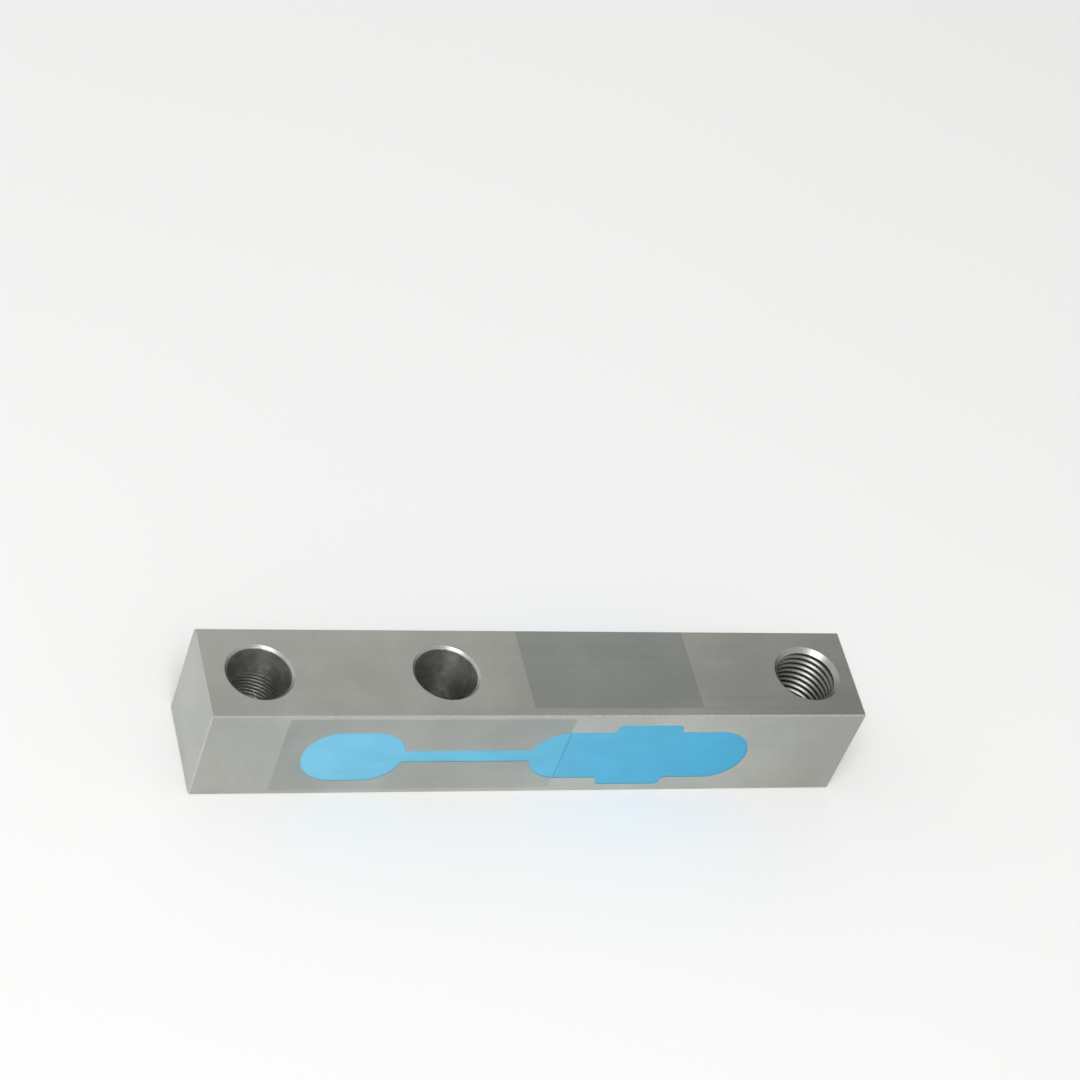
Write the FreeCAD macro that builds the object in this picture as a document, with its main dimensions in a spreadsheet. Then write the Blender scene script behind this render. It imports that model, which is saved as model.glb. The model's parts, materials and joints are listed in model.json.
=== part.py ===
import FreeCAD, Part
import math
import os
import Sketcher
from FreeCAD import Vector

# Shear beam load cell.
# A steel bar is bolted down through two plain holes and loaded through a tapped hole at its other end.
# Between them the bar is milled from both sides to a thin shear web, which carries the strain gauges.
# The gauges are wired through a channel to a terminal board, and every pocket is potted with sealant.
#
# Frame: millimetres, +Z up, +X from the mounting end to the load end, -Y towards the wiring side.
# The origin is the centre of the bottom face.

doc = FreeCAD.newDocument("shear_beam_load_cell")
sheet = doc.addObject("Spreadsheet::Sheet", "sizes")

# Driving sizes
SIZES = [
    ("beam_length", 140.0, "bar along X"),
    ("beam_width", 22.5, "bar along Y"),
    ("beam_height", 24.8, "bar along Z"),
    ("edge_break", 0.3, "chamfer on the bar's outer edges"),
    ("mount_hole_diameter", 13.0, "clearance for an M12 bolt"),
    ("mount_hole_inset", 11.5, "outer mounting hole from the mounting end"),
    ("mount_hole_pitch", 38.75, "between the two mounting holes"),
    ("mount_hole_break", 0.6, "chamfer on the mounting holes"),
    ("thread_bore_diameter", 12.5, "load hole as drilled for M14 x 1.5"),
    ("load_hole_inset", 10.4, "load hole from the load end"),
    ("thread_break", 0.95, "countersink on the load hole"),
    ("axis_drop", 0.5, "pockets' axis below mid-height"),
    ("pocket_wall", 2.1, "between the terminal pocket and the mounting holes, on average"),
    ("pocket_shift", 0.6, "terminal pocket's middle from the holes' middle, towards the load end"),
    ("pocket_height", 15.4, "terminal pocket, its round ends' diameter"),
    ("inlet_wall", 2.5, "between the terminal pocket and the gland bore"),
    ("channel_height", 3.6, "wiring channel's width"),
    ("channel_depth", 2.6, "wiring channel"),
    ("slot_height", 15.0, "gauge slot, its round ends' diameter"),
    ("slot_step", 1.4, "gauge slot's floor below the channel's"),
    ("slot_land_mount", 18.8, "inner mounting hole's axis to the slot"),
    ("slot_land_load", 12.7, "slot to the load hole's axis"),
    ("well_length", 14.2, "gauge well along X"),
    ("well_height", 19.5, "gauge well along Z"),
    ("well_corner", 1.0, "gauge well's corner radius, and that of its ledges"),
    ("web_thickness", 4.0, "shear web between the two wells"),
    ("passage_diameter", 3.6, "cross hole for the rear gauge's wires"),
    ("sealant_recess", 0.25, "sealant below the bar's face"),
    ("sleeve_wall", 0.2, "insulating sleeve in the cross hole"),
    ("sleeve_clearance", 0.05, "sleeve to the cross hole, on the radius"),
    ("wire_diameter", 0.5, "insulated wire, and the ribbon lead's thickness"),
    ("wire_pitch", 0.8, "between wires, and between terminals"),
    ("wire_bend", 1.0, "bend radius of a bridge wire"),
    ("ribbon_gap", 0.15, "between the ribbon lead and the wires above it"),
    ("ribbon_bare", 0.5, "bare conductor at the ribbon lead's ends"),
    ("conductor_width", 0.3, "bare conductor, square"),
    ("terminal_count", 4, "terminals on a strip, and lands at each end of the board"),
    ("terminal_width", 0.55, "terminal along Z"),
    ("foil_thickness", 0.05, "copper terminals and gauge foil"),
    ("strip_gap", 0.5, "gauge well's wall to the terminal strip"),
    ("strip_width", 3.2, "terminal strip along X"),
    ("strip_margin", 0.3, "terminal to the strip's edge"),
    ("film_thickness", 0.1, "terminal strip and gauge carrier"),
    ("gauge_gap", 0.5, "terminal strip to the gauge"),
    ("gauge_width", 6.0, "gauge carrier along X"),
    ("gauge_height", 9.0, "gauge carrier along Z"),
    ("grid_length", 2.6, "one gauge grid along its lines"),
    ("grid_line", 0.3, "foil line's width, and the gap to the next"),
    ("lead_width", 0.3, "gauge's ribbon lead"),
    ("lead_thickness", 0.1, "gauge's ribbon lead"),
    ("board_clearance", 0.4, "terminal board to the pocket's wall"),
    ("board_thickness", 1.0, "terminal board"),
    ("land_length", 1.6, "solder land along X"),
    ("land_inset", 3.6, "middle of the solder lands from the board's ends"),
    ("core_land_width", 1.2, "land for a cable core along Z"),
    ("core_land_pitch", 2.0, "between the lands for the cable's cores"),
    ("chip_length", 3.2, "resistor along X"),
    ("chip_width", 1.6, "resistor along Z"),
    ("chip_height", 0.6, "resistor above the board"),
    ("chip_gap", 0.9, "between the cable's opening and a resistor"),
    ("chip_spacing", 3.9, "between resistors in a row"),
    ("cable_diameter", 5.0, "cable that the inlet takes"),
    ("cable_clearance", 0.15, "cable to the seal, on the radius"),
    ("inlet_clearance", 0.4, "cable to the metal of the inlet, on the radius"),
    ("socket_depth", 3.0, "cable's end in the sealant, above the board"),
    ("gland_diameter", 10.0, "gland bore in the back face"),
    ("gland_clearance", 0.05, "gland pieces to their bore, on the radius"),
    ("seal_length", 4.0, "rubber seal along the cable"),
    ("washer_thickness", 1.0, "washer on the seal"),
    ("screw_length", 4.7, "hollow gland screw"),
    ("screw_recess", 0.3, "gland screw below the back face"),
    ("screw_slot_width", 1.4, "driver slot across the gland screw"),
    ("screw_slot_depth", 1.4, "driver slot"),
    ("gland_break", 0.4, "chamfer on the gland screw and the seal"),
]

# Sizes and places worked out from the driving ones
WORKED_OUT = [
    ("outer_hole_x", "mount_hole_inset - beam_length / 2"),
    ("inner_hole_x", "outer_hole_x + mount_hole_pitch"),
    ("load_hole_x", "beam_length / 2 - load_hole_inset"),
    ("axis_z", "beam_height / 2 - axis_drop"),
    ("pocket_x", "(outer_hole_x + inner_hole_x) / 2 + pocket_shift"),
    ("pocket_length", "mount_hole_pitch - mount_hole_diameter - 2 * pocket_wall"),
    ("pocket_end_x", "pocket_x + pocket_length / 2"),
    ("slot_start_x", "inner_hole_x + slot_land_mount"),
    ("slot_end_x", "load_hole_x - slot_land_load"),
    ("slot_x", "(slot_start_x + slot_end_x) / 2"),
    ("slot_length", "slot_end_x - slot_start_x"),
    ("slot_depth", "channel_depth + slot_step"),
    ("well_start_x", "slot_x - well_length / 2"),
    ("well_depth", "(beam_width - web_thickness) / 2"),
    ("passage_x", "(slot_start_x + well_start_x) / 2"),
    ("channel_x", "(pocket_x + slot_x) / 2"),
    ("channel_length", "slot_x - pocket_x"),
    ("sleeve_diameter", "passage_diameter - 2 * sleeve_clearance"),
    ("sleeve_bore", "sleeve_diameter - 2 * sleeve_wall"),
    ("sleeve_length", "beam_width - 2 * slot_depth"),
    ("gland_depth", "seal_length + washer_thickness + screw_length + screw_recess"),
    ("pocket_depth", "beam_width - gland_depth - inlet_wall"),
    ("inlet_bore", "cable_diameter + 2 * inlet_clearance"),
    ("seal_bore", "cable_diameter + 2 * cable_clearance"),
    ("gland_fit_diameter", "gland_diameter - 2 * gland_clearance"),
    ("terminal_span", "(terminal_count - 1) * wire_pitch"),
    ("core_land_span", "(terminal_count - 1) * core_land_pitch"),
    ("strip_x", "well_start_x + strip_gap + strip_width / 2"),
    ("strip_height", "terminal_span + terminal_width + 2 * strip_margin"),
    ("terminal_length", "strip_width - 2 * strip_margin"),
    ("gauge_x", "strip_x + strip_width / 2 + gauge_gap + gauge_width / 2"),
    ("board_length", "pocket_length - 2 * board_clearance"),
    ("board_height", "pocket_height - 2 * board_clearance"),
    ("land_reach", "board_length / 2 - land_inset"),
    ("chip_row_z", "inlet_bore / 2 + chip_gap + chip_width / 2"),
    ("ribbon_width", "terminal_span + wire_diameter"),
    ("ribbon_x", "strip_x - terminal_length / 4"),
    ("bridge_x", "strip_x + terminal_length / 8"),
    ("lead_overlap", "terminal_length / 8"),
    ("wire_edge", "wire_diameter * (1 - sqrt(2) / 2)"),
    ("on_strip_y", "web_thickness / 2 + film_thickness + foil_thickness"),
    ("wire_run_y", "beam_width / 2 - channel_depth + wire_diameter / 2"),
    ("ribbon_run_y", "wire_run_y - wire_diameter - ribbon_gap"),
    ("ribbon_end_y", "on_strip_y + ribbon_bare"),
    ("ribbon_bend", "ribbon_run_y - beam_width / 2 + slot_depth"),
    ("on_board_y", "beam_width / 2 - pocket_depth + board_thickness + foil_thickness"),
    ("board_wire_x", "pocket_x + land_reach"),
    ("board_core_x", "pocket_x - land_reach"),
]

sheet.set("A1", "size")
sheet.set("B1", "value")
sheet.set("C1", "meaning")
for row, (alias, number, meaning) in enumerate(SIZES, 2):
    sheet.set(f"A{row}", alias)
    sheet.set(f"B{row}", str(number))
    sheet.set(f"C{row}", meaning)
    sheet.setAlias(f"B{row}", alias)
for row, (alias, formula) in enumerate(WORKED_OUT, 2 + len(SIZES)):
    sheet.set(f"A{row}", alias)
    sheet.set(f"B{row}", f"={formula}")
    sheet.setAlias(f"B{row}", alias)
doc.recompute()

TOLERANCE = 1e-4
FRONT = 1
REAR = -1
Y_AXIS = Vector(0, 1, 0)
Z_AXIS = Vector(0, 0, 1)
HALF_WIDTH = "sizes.beam_width / 2"


def size(alias):
    """A size from the sheet, as a number."""
    return float(getattr(sheet, alias))


def value(expression):
    """What an expression on the sheet comes to, as a number."""
    return float(sheet.evalExpression(expression))


# Sketches


def new_body(label):
    body = doc.addObject("PartDesign::Body", label)
    body.Label = label
    return body


def new_sketch(body, name, role, across="0", up="0", out="0"):
    """An empty sketch whose own origin stands at (across, up) on an origin plane, out along its normal."""
    sketch = body.newObject("Sketcher::SketchObject", name)
    plane = next(feature for feature in body.Origin.OriginFeatures if feature.Role == role)
    sketch.AttachmentSupport = [(plane, "")]
    sketch.MapMode = "FlatFace"
    for axis, expression in zip("xyz", (across, up, out)):
        sketch.setExpression(f"AttachmentOffset.Base.{axis}", expression)
    return sketch


def side_sketch(body, name, side, x, z, y_out):
    """A sketch that faces out of the front or the rear of the bar, y_out from the mid-plane."""
    return new_sketch(body, name, "XZ_Plane", x, z, f"{side} * ({y_out})")


def drive(sketch, constraint, name, expression):
    """Add a dimension and bind it to the sheet."""
    index = sketch.addConstraint(constraint)
    sketch.renameConstraint(index, name)
    sketch.setExpression(f"Constraints.{name}", expression)


def line(sketch, start, end):
    return sketch.addGeometry(Part.LineSegment(Vector(*start, 0), Vector(*end, 0)))


def arc(sketch, centre, radius, start_degrees, turn_degrees):
    circle = Part.Circle(Vector(*centre, 0), Vector(0, 0, 1), radius)
    start = math.radians(start_degrees)
    return sketch.addGeometry(Part.ArcOfCircle(circle, start, start + math.radians(turn_degrees)))


def draw_circle(sketch, diameter, name="diameter"):
    radius = value(diameter) / 2
    circle = sketch.addGeometry(Part.Circle(Vector(0, 0, 0), Vector(0, 0, 1), radius))
    sketch.addConstraint(Sketcher.Constraint("Coincident", circle, 3, -1, 1))
    drive(sketch, Sketcher.Constraint("Diameter", circle, 2 * radius), name, diameter)


def draw_ring(sketch, outer, inner):
    draw_circle(sketch, outer, "outer")
    draw_circle(sketch, inner, "inner")


def draw_stadium(sketch, length, height):
    """A slot outline: two half circles joined by straight sides."""
    radius = value(height) / 2
    reach = value(length) / 2 - radius
    left = arc(sketch, (-reach, 0), radius, 90, 180)
    right = arc(sketch, (reach, 0), radius, -90, 180)
    top = line(sketch, (-reach, radius), (reach, radius))
    bottom = line(sketch, (reach, -radius), (-reach, -radius))
    sketch.addConstraint([
        Sketcher.Constraint("Tangent", left, 1, top, 1),
        Sketcher.Constraint("Tangent", top, 2, right, 2),
        Sketcher.Constraint("Tangent", right, 1, bottom, 1),
        Sketcher.Constraint("Tangent", bottom, 2, left, 2),
        Sketcher.Constraint("Horizontal", top),
        Sketcher.Constraint("Equal", left, right),
        Sketcher.Constraint("Symmetric", left, 3, right, 3, -1, 1),
    ])
    drive(sketch, Sketcher.Constraint("Radius", left, radius), "radius", f"({height}) / 2")
    centres = Sketcher.Constraint("DistanceX", left, 3, right, 3, 2 * reach)
    drive(sketch, centres, "centres", f"({length}) - ({height})")


def draw_rectangle(sketch, width, height):
    w, h = value(width) / 2, value(height) / 2
    corners = [(-w, -h), (w, -h), (w, h), (-w, h)]
    sides = [line(sketch, corners[i], corners[(i + 1) % 4]) for i in range(4)]
    for i in range(4):
        sketch.addConstraint(Sketcher.Constraint("Coincident", sides[i], 2, sides[(i + 1) % 4], 1))
        sketch.addConstraint(Sketcher.Constraint("Vertical" if i % 2 else "Horizontal", sides[i]))
    sketch.addConstraint(Sketcher.Constraint("Symmetric", sides[0], 1, sides[2], 1, -1, 1))
    drive(sketch, Sketcher.Constraint("DistanceX", sides[0], 1, sides[0], 2, 2 * w), "width", width)
    drive(sketch, Sketcher.Constraint("DistanceY", sides[1], 1, sides[1], 2, 2 * h), "height", height)


def draw_rounded_rectangle(sketch, width, height, corner):
    radius = value(corner)
    w, h = value(width) / 2 - radius, value(height) / 2 - radius
    centres = [(w, -h), (w, h), (-w, h), (-w, -h)]
    turns = [-90, 0, 90, 180]
    corners = [arc(sketch, centre, radius, turn, 90) for centre, turn in zip(centres, turns)]
    for i in range(4):
        after = (i + 1) % 4
        angle = math.radians(turns[after])
        shift = (radius * math.cos(angle), radius * math.sin(angle))
        start, end = [(c[0] + shift[0], c[1] + shift[1]) for c in (centres[i], centres[after])]
        side = line(sketch, start, end)
        sketch.addConstraint([
            Sketcher.Constraint("Tangent", corners[i], 2, side, 1),
            Sketcher.Constraint("Tangent", side, 2, corners[after], 1),
            Sketcher.Constraint("Horizontal" if i % 2 else "Vertical", side),
        ])
    for other in corners[1:]:
        sketch.addConstraint(Sketcher.Constraint("Equal", corners[0], other))
    sketch.addConstraint(Sketcher.Constraint("Symmetric", corners[0], 3, corners[2], 3, -1, 1))
    drive(sketch, Sketcher.Constraint("Radius", corners[0], radius), "corner", corner)
    across = Sketcher.Constraint("DistanceX", corners[2], 3, corners[0], 3, 2 * w)
    drive(sketch, across, "across", f"({width}) - 2 * ({corner})")
    up = Sketcher.Constraint("DistanceY", corners[0], 3, corners[2], 3, 2 * h)
    drive(sketch, up, "up", f"({height}) - 2 * ({corner})")


# Features


def pad(body, sketch, length, against_normal=False):
    """Pad a sketch along its normal, or against it."""
    feature = body.newObject("PartDesign::Pad", f"{sketch.Name}_pad")
    feature.Profile = sketch
    feature.setExpression("Length", length)
    feature.Reversed = against_normal
    doc.recompute()
    return feature


def check_removed(body, before, feature):
    """Stop if a cut has left the body's volume as it was."""
    if body.Shape.Volume > before - TOLERANCE:
        raise RuntimeError(f"{feature.Name} removes nothing")


def pocket(body, sketch, depth=None, along_normal=False):
    """Cut a sketch into the body, against its normal unless told otherwise; with no depth, right through."""
    before = body.Shape.Volume
    feature = body.newObject("PartDesign::Pocket", f"{sketch.Name}_pocket")
    feature.Profile = sketch
    if depth is None:
        feature.Type = "ThroughAll"
    else:
        feature.setExpression("Length", depth)
    feature.Reversed = along_normal
    doc.recompute()
    check_removed(body, before, feature)
    return feature


def drill(body, sketch, diameter):
    """A plain hole right through, from the sketch down."""
    before = body.Shape.Volume
    hole = body.newObject("PartDesign::Hole", f"{sketch.Name}_drilled")
    hole.Profile = sketch
    doc.recompute()
    hole.Threaded = False
    hole.DepthType = "ThroughAll"
    hole.setExpression("Diameter", diameter)
    doc.recompute()
    check_removed(body, before, hole)
    return hole


def chamfer(body, name, edges, width):
    """Break the named edges of the body as it stands."""
    base = body.Tip
    feature = body.newObject("PartDesign::Chamfer", name)
    feature.Base = (base, edges)
    feature.setExpression("Size", width)
    doc.recompute()
    return feature


def fillet(body, name, edges, radius):
    """Round the named edges of the body as it stands."""
    base = body.Tip
    feature = body.newObject("PartDesign::Fillet", name)
    feature.Base = (base, edges)
    feature.setExpression("Radius", radius)
    doc.recompute()
    return feature


def linear_copies(body, name, feature, sketch, axis, span, count):
    """Repeat a feature along one of its sketch's axes."""
    pattern = body.newObject("PartDesign::LinearPattern", name)
    pattern.Originals = [feature]
    pattern.Direction = (sketch, [axis])
    pattern.setExpression("Length", span)
    pattern.setExpression("Occurrences", count)
    body.Tip = pattern
    doc.recompute()
    return pattern


def rims(shape, diameter, axis, places):
    """Names of the circular edges of one diameter about an axis, at the given places along it."""
    names = []
    for index, edge in enumerate(shape.Edges, 1):
        curve = edge.Curve
        if not isinstance(curve, Part.Circle) or abs(2 * curve.Radius - diameter) > TOLERANCE:
            continue
        along = curve.Center.dot(axis)
        parallel = abs(abs(curve.Axis.dot(axis)) - 1) < TOLERANCE
        if parallel and min(abs(along - place) for place in places) < TOLERANCE:
            names.append(f"Edge{index}")
    return names


def edges_along(shape, axis, corners):
    """Names of the edges along an axis that are in line with one of the given corners."""
    names = []
    for index, edge in enumerate(shape.Edges, 1):
        ends = [vertex.Point for vertex in edge.Vertexes]
        if any(all((end - corner).cross(axis).Length < TOLERANCE for end in ends) for corner in corners):
            names.append(f"Edge{index}")
    return names


# Pockets of the bar: how each outline is drawn, and how deep it is


def draw_pocket(sketch):
    draw_stadium(sketch, "sizes.pocket_length", "sizes.pocket_height")


def draw_channel(sketch):
    draw_rectangle(sketch, "sizes.channel_length", "sizes.channel_height")


def draw_slot(sketch):
    draw_stadium(sketch, "sizes.slot_length", "sizes.slot_height")


def draw_well(sketch):
    draw_rounded_rectangle(sketch, "sizes.well_length", "sizes.well_height", "sizes.well_corner")


POCKETS = {
    "terminal_pocket": (draw_pocket, "sizes.pocket_x", "sizes.pocket_depth"),
    "wiring_channel": (draw_channel, "sizes.channel_x", "sizes.channel_depth"),
    "gauge_slot": (draw_slot, "sizes.slot_x", "sizes.slot_depth"),
    "gauge_well": (draw_well, "sizes.slot_x", "sizes.well_depth"),
}
REAR_POCKETS = ["gauge_slot", "gauge_well"]


def round_ledges(body, name):
    """Round the corners where the gauge slot's sides meet the well's."""
    across, up = size("well_length") / 2, size("slot_height") / 2
    middle = Vector(size("slot_x"), 0, size("axis_z"))
    corners = [middle + Vector(x, 0, z) for x in (-across, across) for z in (-up, up)]
    fillet(body, name, edges_along(body.Shape, Y_AXIS, corners), "sizes.well_corner")


def make_beam():
    body = new_body("beam")
    outline = new_sketch(body, "beam_outline", "XY_Plane")
    draw_rectangle(outline, "sizes.beam_length", "sizes.beam_width")
    block = pad(body, outline, "sizes.beam_height")
    all_edges = [f"Edge{i}" for i in range(1, len(block.Shape.Edges) + 1)]
    chamfer(body, "beam_edges", all_edges, "sizes.edge_break")

    cuts = {}
    for name, (draw, x, depth) in POCKETS.items():
        sketch = side_sketch(body, name, FRONT, x, "sizes.axis_z", HALF_WIDTH)
        draw(sketch)
        cuts[name] = pocket(body, sketch, depth)
    mirrored = body.newObject("PartDesign::Mirrored", "rear_pockets")
    mirrored.Originals = [cuts[name] for name in REAR_POCKETS]
    mid_plane = next(f for f in body.Origin.OriginFeatures if f.Role == "XZ_Plane")
    mirrored.MirrorPlane = (mid_plane, [""])
    body.Tip = mirrored
    doc.recompute()
    round_ledges(body, "well_ledges")

    passage = side_sketch(body, "wire_passage", FRONT, "sizes.passage_x", "sizes.axis_z", HALF_WIDTH)
    draw_circle(passage, "sizes.passage_diameter")
    pocket(body, passage)
    inlet = side_sketch(body, "cable_inlet", REAR, "sizes.pocket_x", "sizes.axis_z", HALF_WIDTH)
    draw_circle(inlet, "sizes.inlet_bore")
    pocket(body, inlet, along_normal=True)
    gland = side_sketch(body, "gland_bore", REAR, "sizes.pocket_x", "sizes.axis_z", HALF_WIDTH)
    draw_circle(gland, "sizes.gland_diameter")
    pocket(body, gland, "sizes.gland_depth", along_normal=True)

    top = "sizes.beam_height"
    mount = new_sketch(body, "mount_hole", "XY_Plane", "sizes.outer_hole_x", "0", top)
    draw_circle(mount, "sizes.mount_hole_diameter")
    mount_hole = drill(body, mount, "sizes.mount_hole_diameter")
    linear_copies(body, "mount_holes", mount_hole, mount, "H_Axis", "sizes.mount_hole_pitch", "2")
    load = new_sketch(body, "load_hole", "XY_Plane", "sizes.load_hole_x", "0", top)
    draw_circle(load, "sizes.thread_bore_diameter")
    drill(body, load, "sizes.thread_bore_diameter")

    faces = [0, size("beam_height")]
    breaks = {"mount_hole_diameter": "mount_hole_break", "thread_bore_diameter": "thread_break"}
    for bore, width in breaks.items():
        edges = rims(body.Shape, size(bore), Z_AXIS, faces)
        chamfer(body, f"{bore}_rims", edges, f"sizes.{width}")
    return body


# Gland pieces, stacked along the cable from the seat in the bar to the back face


def make_gland_ring(label, start, length, bore, broken_edges):
    """A round bush on the inlet's axis; start is measured from the gland bore's floor."""
    body = new_body(label)
    y_out = f"{HALF_WIDTH} - sizes.gland_depth + {start}"
    outline = side_sketch(body, f"{label}_outline", REAR, "sizes.pocket_x", "sizes.axis_z", y_out)
    draw_ring(outline, "sizes.gland_fit_diameter", bore)
    pad(body, outline, length, against_normal=True)
    if broken_edges:
        ends = [value(y_out), value(f"{y_out} + {length}")]
        edges = rims(body.Shape, size("gland_fit_diameter"), Y_AXIS, ends[1:])
        edges += rims(body.Shape, value(bore), Y_AXIS, ends[1:])
        chamfer(body, f"{label}_edges", edges, "sizes.gland_break")
    return body


def make_gland():
    seal = make_gland_ring("cable_seal", "0", "sizes.seal_length", "sizes.seal_bore", False)
    on_seal = "sizes.seal_length"
    washer = make_gland_ring("seal_washer", on_seal, "sizes.washer_thickness", "sizes.inlet_bore", False)
    on_washer = "sizes.seal_length + sizes.washer_thickness"
    screw = make_gland_ring("gland_screw", on_washer, "sizes.screw_length", "sizes.inlet_bore", True)
    y_out = f"{HALF_WIDTH} - sizes.screw_recess"
    slot = side_sketch(screw, "driver_slot", REAR, "sizes.pocket_x", "sizes.axis_z", y_out)
    draw_rectangle(slot, "sizes.gland_diameter", "sizes.screw_slot_width")
    pocket(screw, slot, "sizes.screw_slot_depth", along_normal=True)
    return [seal, washer, screw]


# Pieces on the shear web


def copper_row(body, name, side, x, surface, length, width, span, thickness="sizes.foil_thickness"):
    """A row of pieces of copper one above another, centred on the pockets' axis."""
    lowest = f"sizes.axis_z - {span} / 2"
    outline = side_sketch(body, name, side, x, lowest, surface)
    draw_rectangle(outline, length, width)
    copper = pad(body, outline, thickness, against_normal=side == REAR)
    linear_copies(body, f"{name}_row", copper, outline, "V_Axis", span, "sizes.terminal_count")


def make_strip(label, side):
    """A bonded strip of solder terminals beside a gauge."""
    body = new_body(label)
    web = "sizes.web_thickness / 2"
    base = side_sketch(body, f"{label}_base", side, "sizes.strip_x", "sizes.axis_z", web)
    draw_rectangle(base, "sizes.strip_width", "sizes.strip_height")
    pad(body, base, "sizes.film_thickness", against_normal=side == REAR)
    copper_row(
        body, f"{label}_terminal", side, "sizes.strip_x", f"{web} + sizes.film_thickness",
        "sizes.terminal_length", "sizes.terminal_width", "sizes.terminal_span",
    )
    return body


FEWEST_LINES = 3
GRID_DEGREES = 45


def make_grid(length, line_width, thickness):
    """The foil of one grid: lines side by side, joined at alternate ends into one snaking track."""
    pitch = 2 * line_width
    count = max(FEWEST_LINES, int(length / pitch))
    edges = [(i - (count - 1) / 2) * pitch - line_width / 2 for i in range(count)]
    track = [Part.makeBox(line_width, thickness, length, Vector(x, 0, -length / 2)) for x in edges]
    for i, x in enumerate(edges[:-1]):
        z = length / 2 - line_width if i % 2 == 0 else -length / 2
        track.append(Part.makeBox(pitch + line_width, thickness, line_width, Vector(x, 0, z)))
    return track[0].fuse(track[1:]).removeSplitter()


def make_gauge(label, side):
    """A foil gauge with two grids at 45 degrees, and ribbon leads to its terminal strip."""
    film, foil = size("film_thickness"), size("foil_thickness")
    width, height = size("gauge_width"), size("gauge_height")
    tab, ribbon = size("terminal_width"), size("lead_thickness")
    pieces = []
    for sign in (-1, 1):
        grid = make_grid(size("grid_length"), size("grid_line"), foil)
        grid.rotate(Vector(0, 0, 0), Y_AXIS, GRID_DEGREES * sign)
        grid.translate(Vector(tab / 2, -film - foil, sign * height / 4))
        pieces.append(grid)
    reach = size("gauge_gap") + size("strip_margin") + size("lead_overlap")
    for level in wire_levels():
        middle = level * size("wire_pitch")
        corner = Vector(-width / 2, -film - foil, middle - tab / 2)
        pieces.append(Part.makeBox(tab, foil, tab, corner))
        corner = Vector(-width / 2 - reach, -film - foil - ribbon, middle - size("lead_width") / 2)
        pieces.append(Part.makeBox(reach + tab, ribbon, size("lead_width"), corner))
    carrier = Part.makeBox(width, film, height, Vector(-width / 2, -film, -height / 2))
    shape = carrier.fuse(pieces).removeSplitter()
    if side == REAR:
        shape = shape.mirror(Vector(0, 0, 0), Y_AXIS)
    feature = doc.addObject("Part::Feature", label)
    feature.Label = label
    feature.Shape = shape.Solids[0]
    feature.Placement.Base = Vector(size("gauge_x"), -side * size("web_thickness") / 2, size("axis_z"))
    return feature


# Wires, each bent in one level plane


def wire_levels():
    """The wires' places above and below the pockets' axis, counted in pitches."""
    count = int(size("terminal_count"))
    return [number - (count - 1) / 2 for number in range(count)]


def draw_wire(sketch, start, runs, end):
    """A wire's outline with square corners: runs along Y and X in turn, each given by where its axis lies.

    Returns the corners on the inside of the bends, and those on the outside.
    """
    stops = [value(stop) for stop in (start, *runs, end)]
    ways = [math.copysign(1, stops[i + 2] - stops[i]) * (-1) ** i for i in range(len(runs))]
    left = [f"{run} - {way} * sizes.wire_diameter / 2" for run, way in zip(runs, ways)]
    right = [f"{run} + {way} * sizes.wire_diameter / 2" for run, way in zip(runs, ways)]
    edges = [start, *left, end, *reversed(right)]
    places = [value(edge) for edge in edges]
    count = len(edges)
    corners = []
    for j in range(count):
        pair = (places[j], places[(j + 1) % count])
        corners.append(pair if j % 2 else pair[::-1])
    lines = [line(sketch, corners[j - 1], corners[j]) for j in range(count)]
    for j, edge in enumerate(edges):
        sketch.addConstraint(Sketcher.Constraint("Coincident", lines[j], 2, lines[(j + 1) % count], 1))
        sketch.addConstraint(Sketcher.Constraint("Vertical" if j % 2 else "Horizontal", lines[j]))
        place = Sketcher.Constraint("DistanceX" if j % 2 else "DistanceY", lines[j], 1, places[j])
        drive(sketch, place, f"edge_{j}", edge)
    inside, outside = [], []
    for i in range(1, len(runs)):
        turns_left = ways[i - 1] * ways[i] > 0
        bend = [corners[i], corners[count - 1 - i]]
        inside.append(Vector(*bend[0] if turns_left else bend[1]))
        outside.append(Vector(*bend[1] if turns_left else bend[0]))
    return inside, outside


def bent_strip(label, under, width, start, runs, end, bend):
    """A padded outline with rounded bends, standing on a level plane."""
    body = new_body(label)
    outline = new_sketch(body, f"{label}_outline", "XY_Plane", out=under)
    inside, outside = draw_wire(outline, start, runs, end)
    pad(body, outline, width)
    half = "sizes.wire_diameter / 2"
    fillet(body, f"{label}_inside", edges_along(body.Shape, Z_AXIS, inside), f"{bend} - {half}")
    fillet(body, f"{label}_outside", edges_along(body.Shape, Z_AXIS, outside), f"{bend} + {half}")
    return body


def make_bridge_wires():
    """Wires of eight-sided section from the front terminal strip, through the channel, to the board."""
    labels = ["excitation_plus_wire", "signal_plus_wire", "signal_minus_wire", "excitation_minus_wire"]
    runs = ["sizes.bridge_x", "-sizes.wire_run_y", "sizes.board_wire_x"]
    start, end = "-sizes.on_strip_y", "-sizes.on_board_y"
    wires = []
    for label, level in zip(labels, wire_levels()):
        under = f"sizes.axis_z + {level} * sizes.wire_pitch - sizes.wire_diameter / 2"
        body = bent_strip(label, under, "sizes.wire_diameter", start, runs, end, "sizes.wire_bend")
        long_edges = []
        for index, edge in enumerate(body.Shape.Edges, 1):
            is_level = edge.BoundBox.ZLength < TOLERANCE
            if is_level and edge.Length > size("wire_diameter") + TOLERANCE:
                long_edges.append(f"Edge{index}")
        chamfer(body, f"{label}_section", long_edges, "sizes.wire_edge")
        wires.append(body)
    return wires


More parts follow.
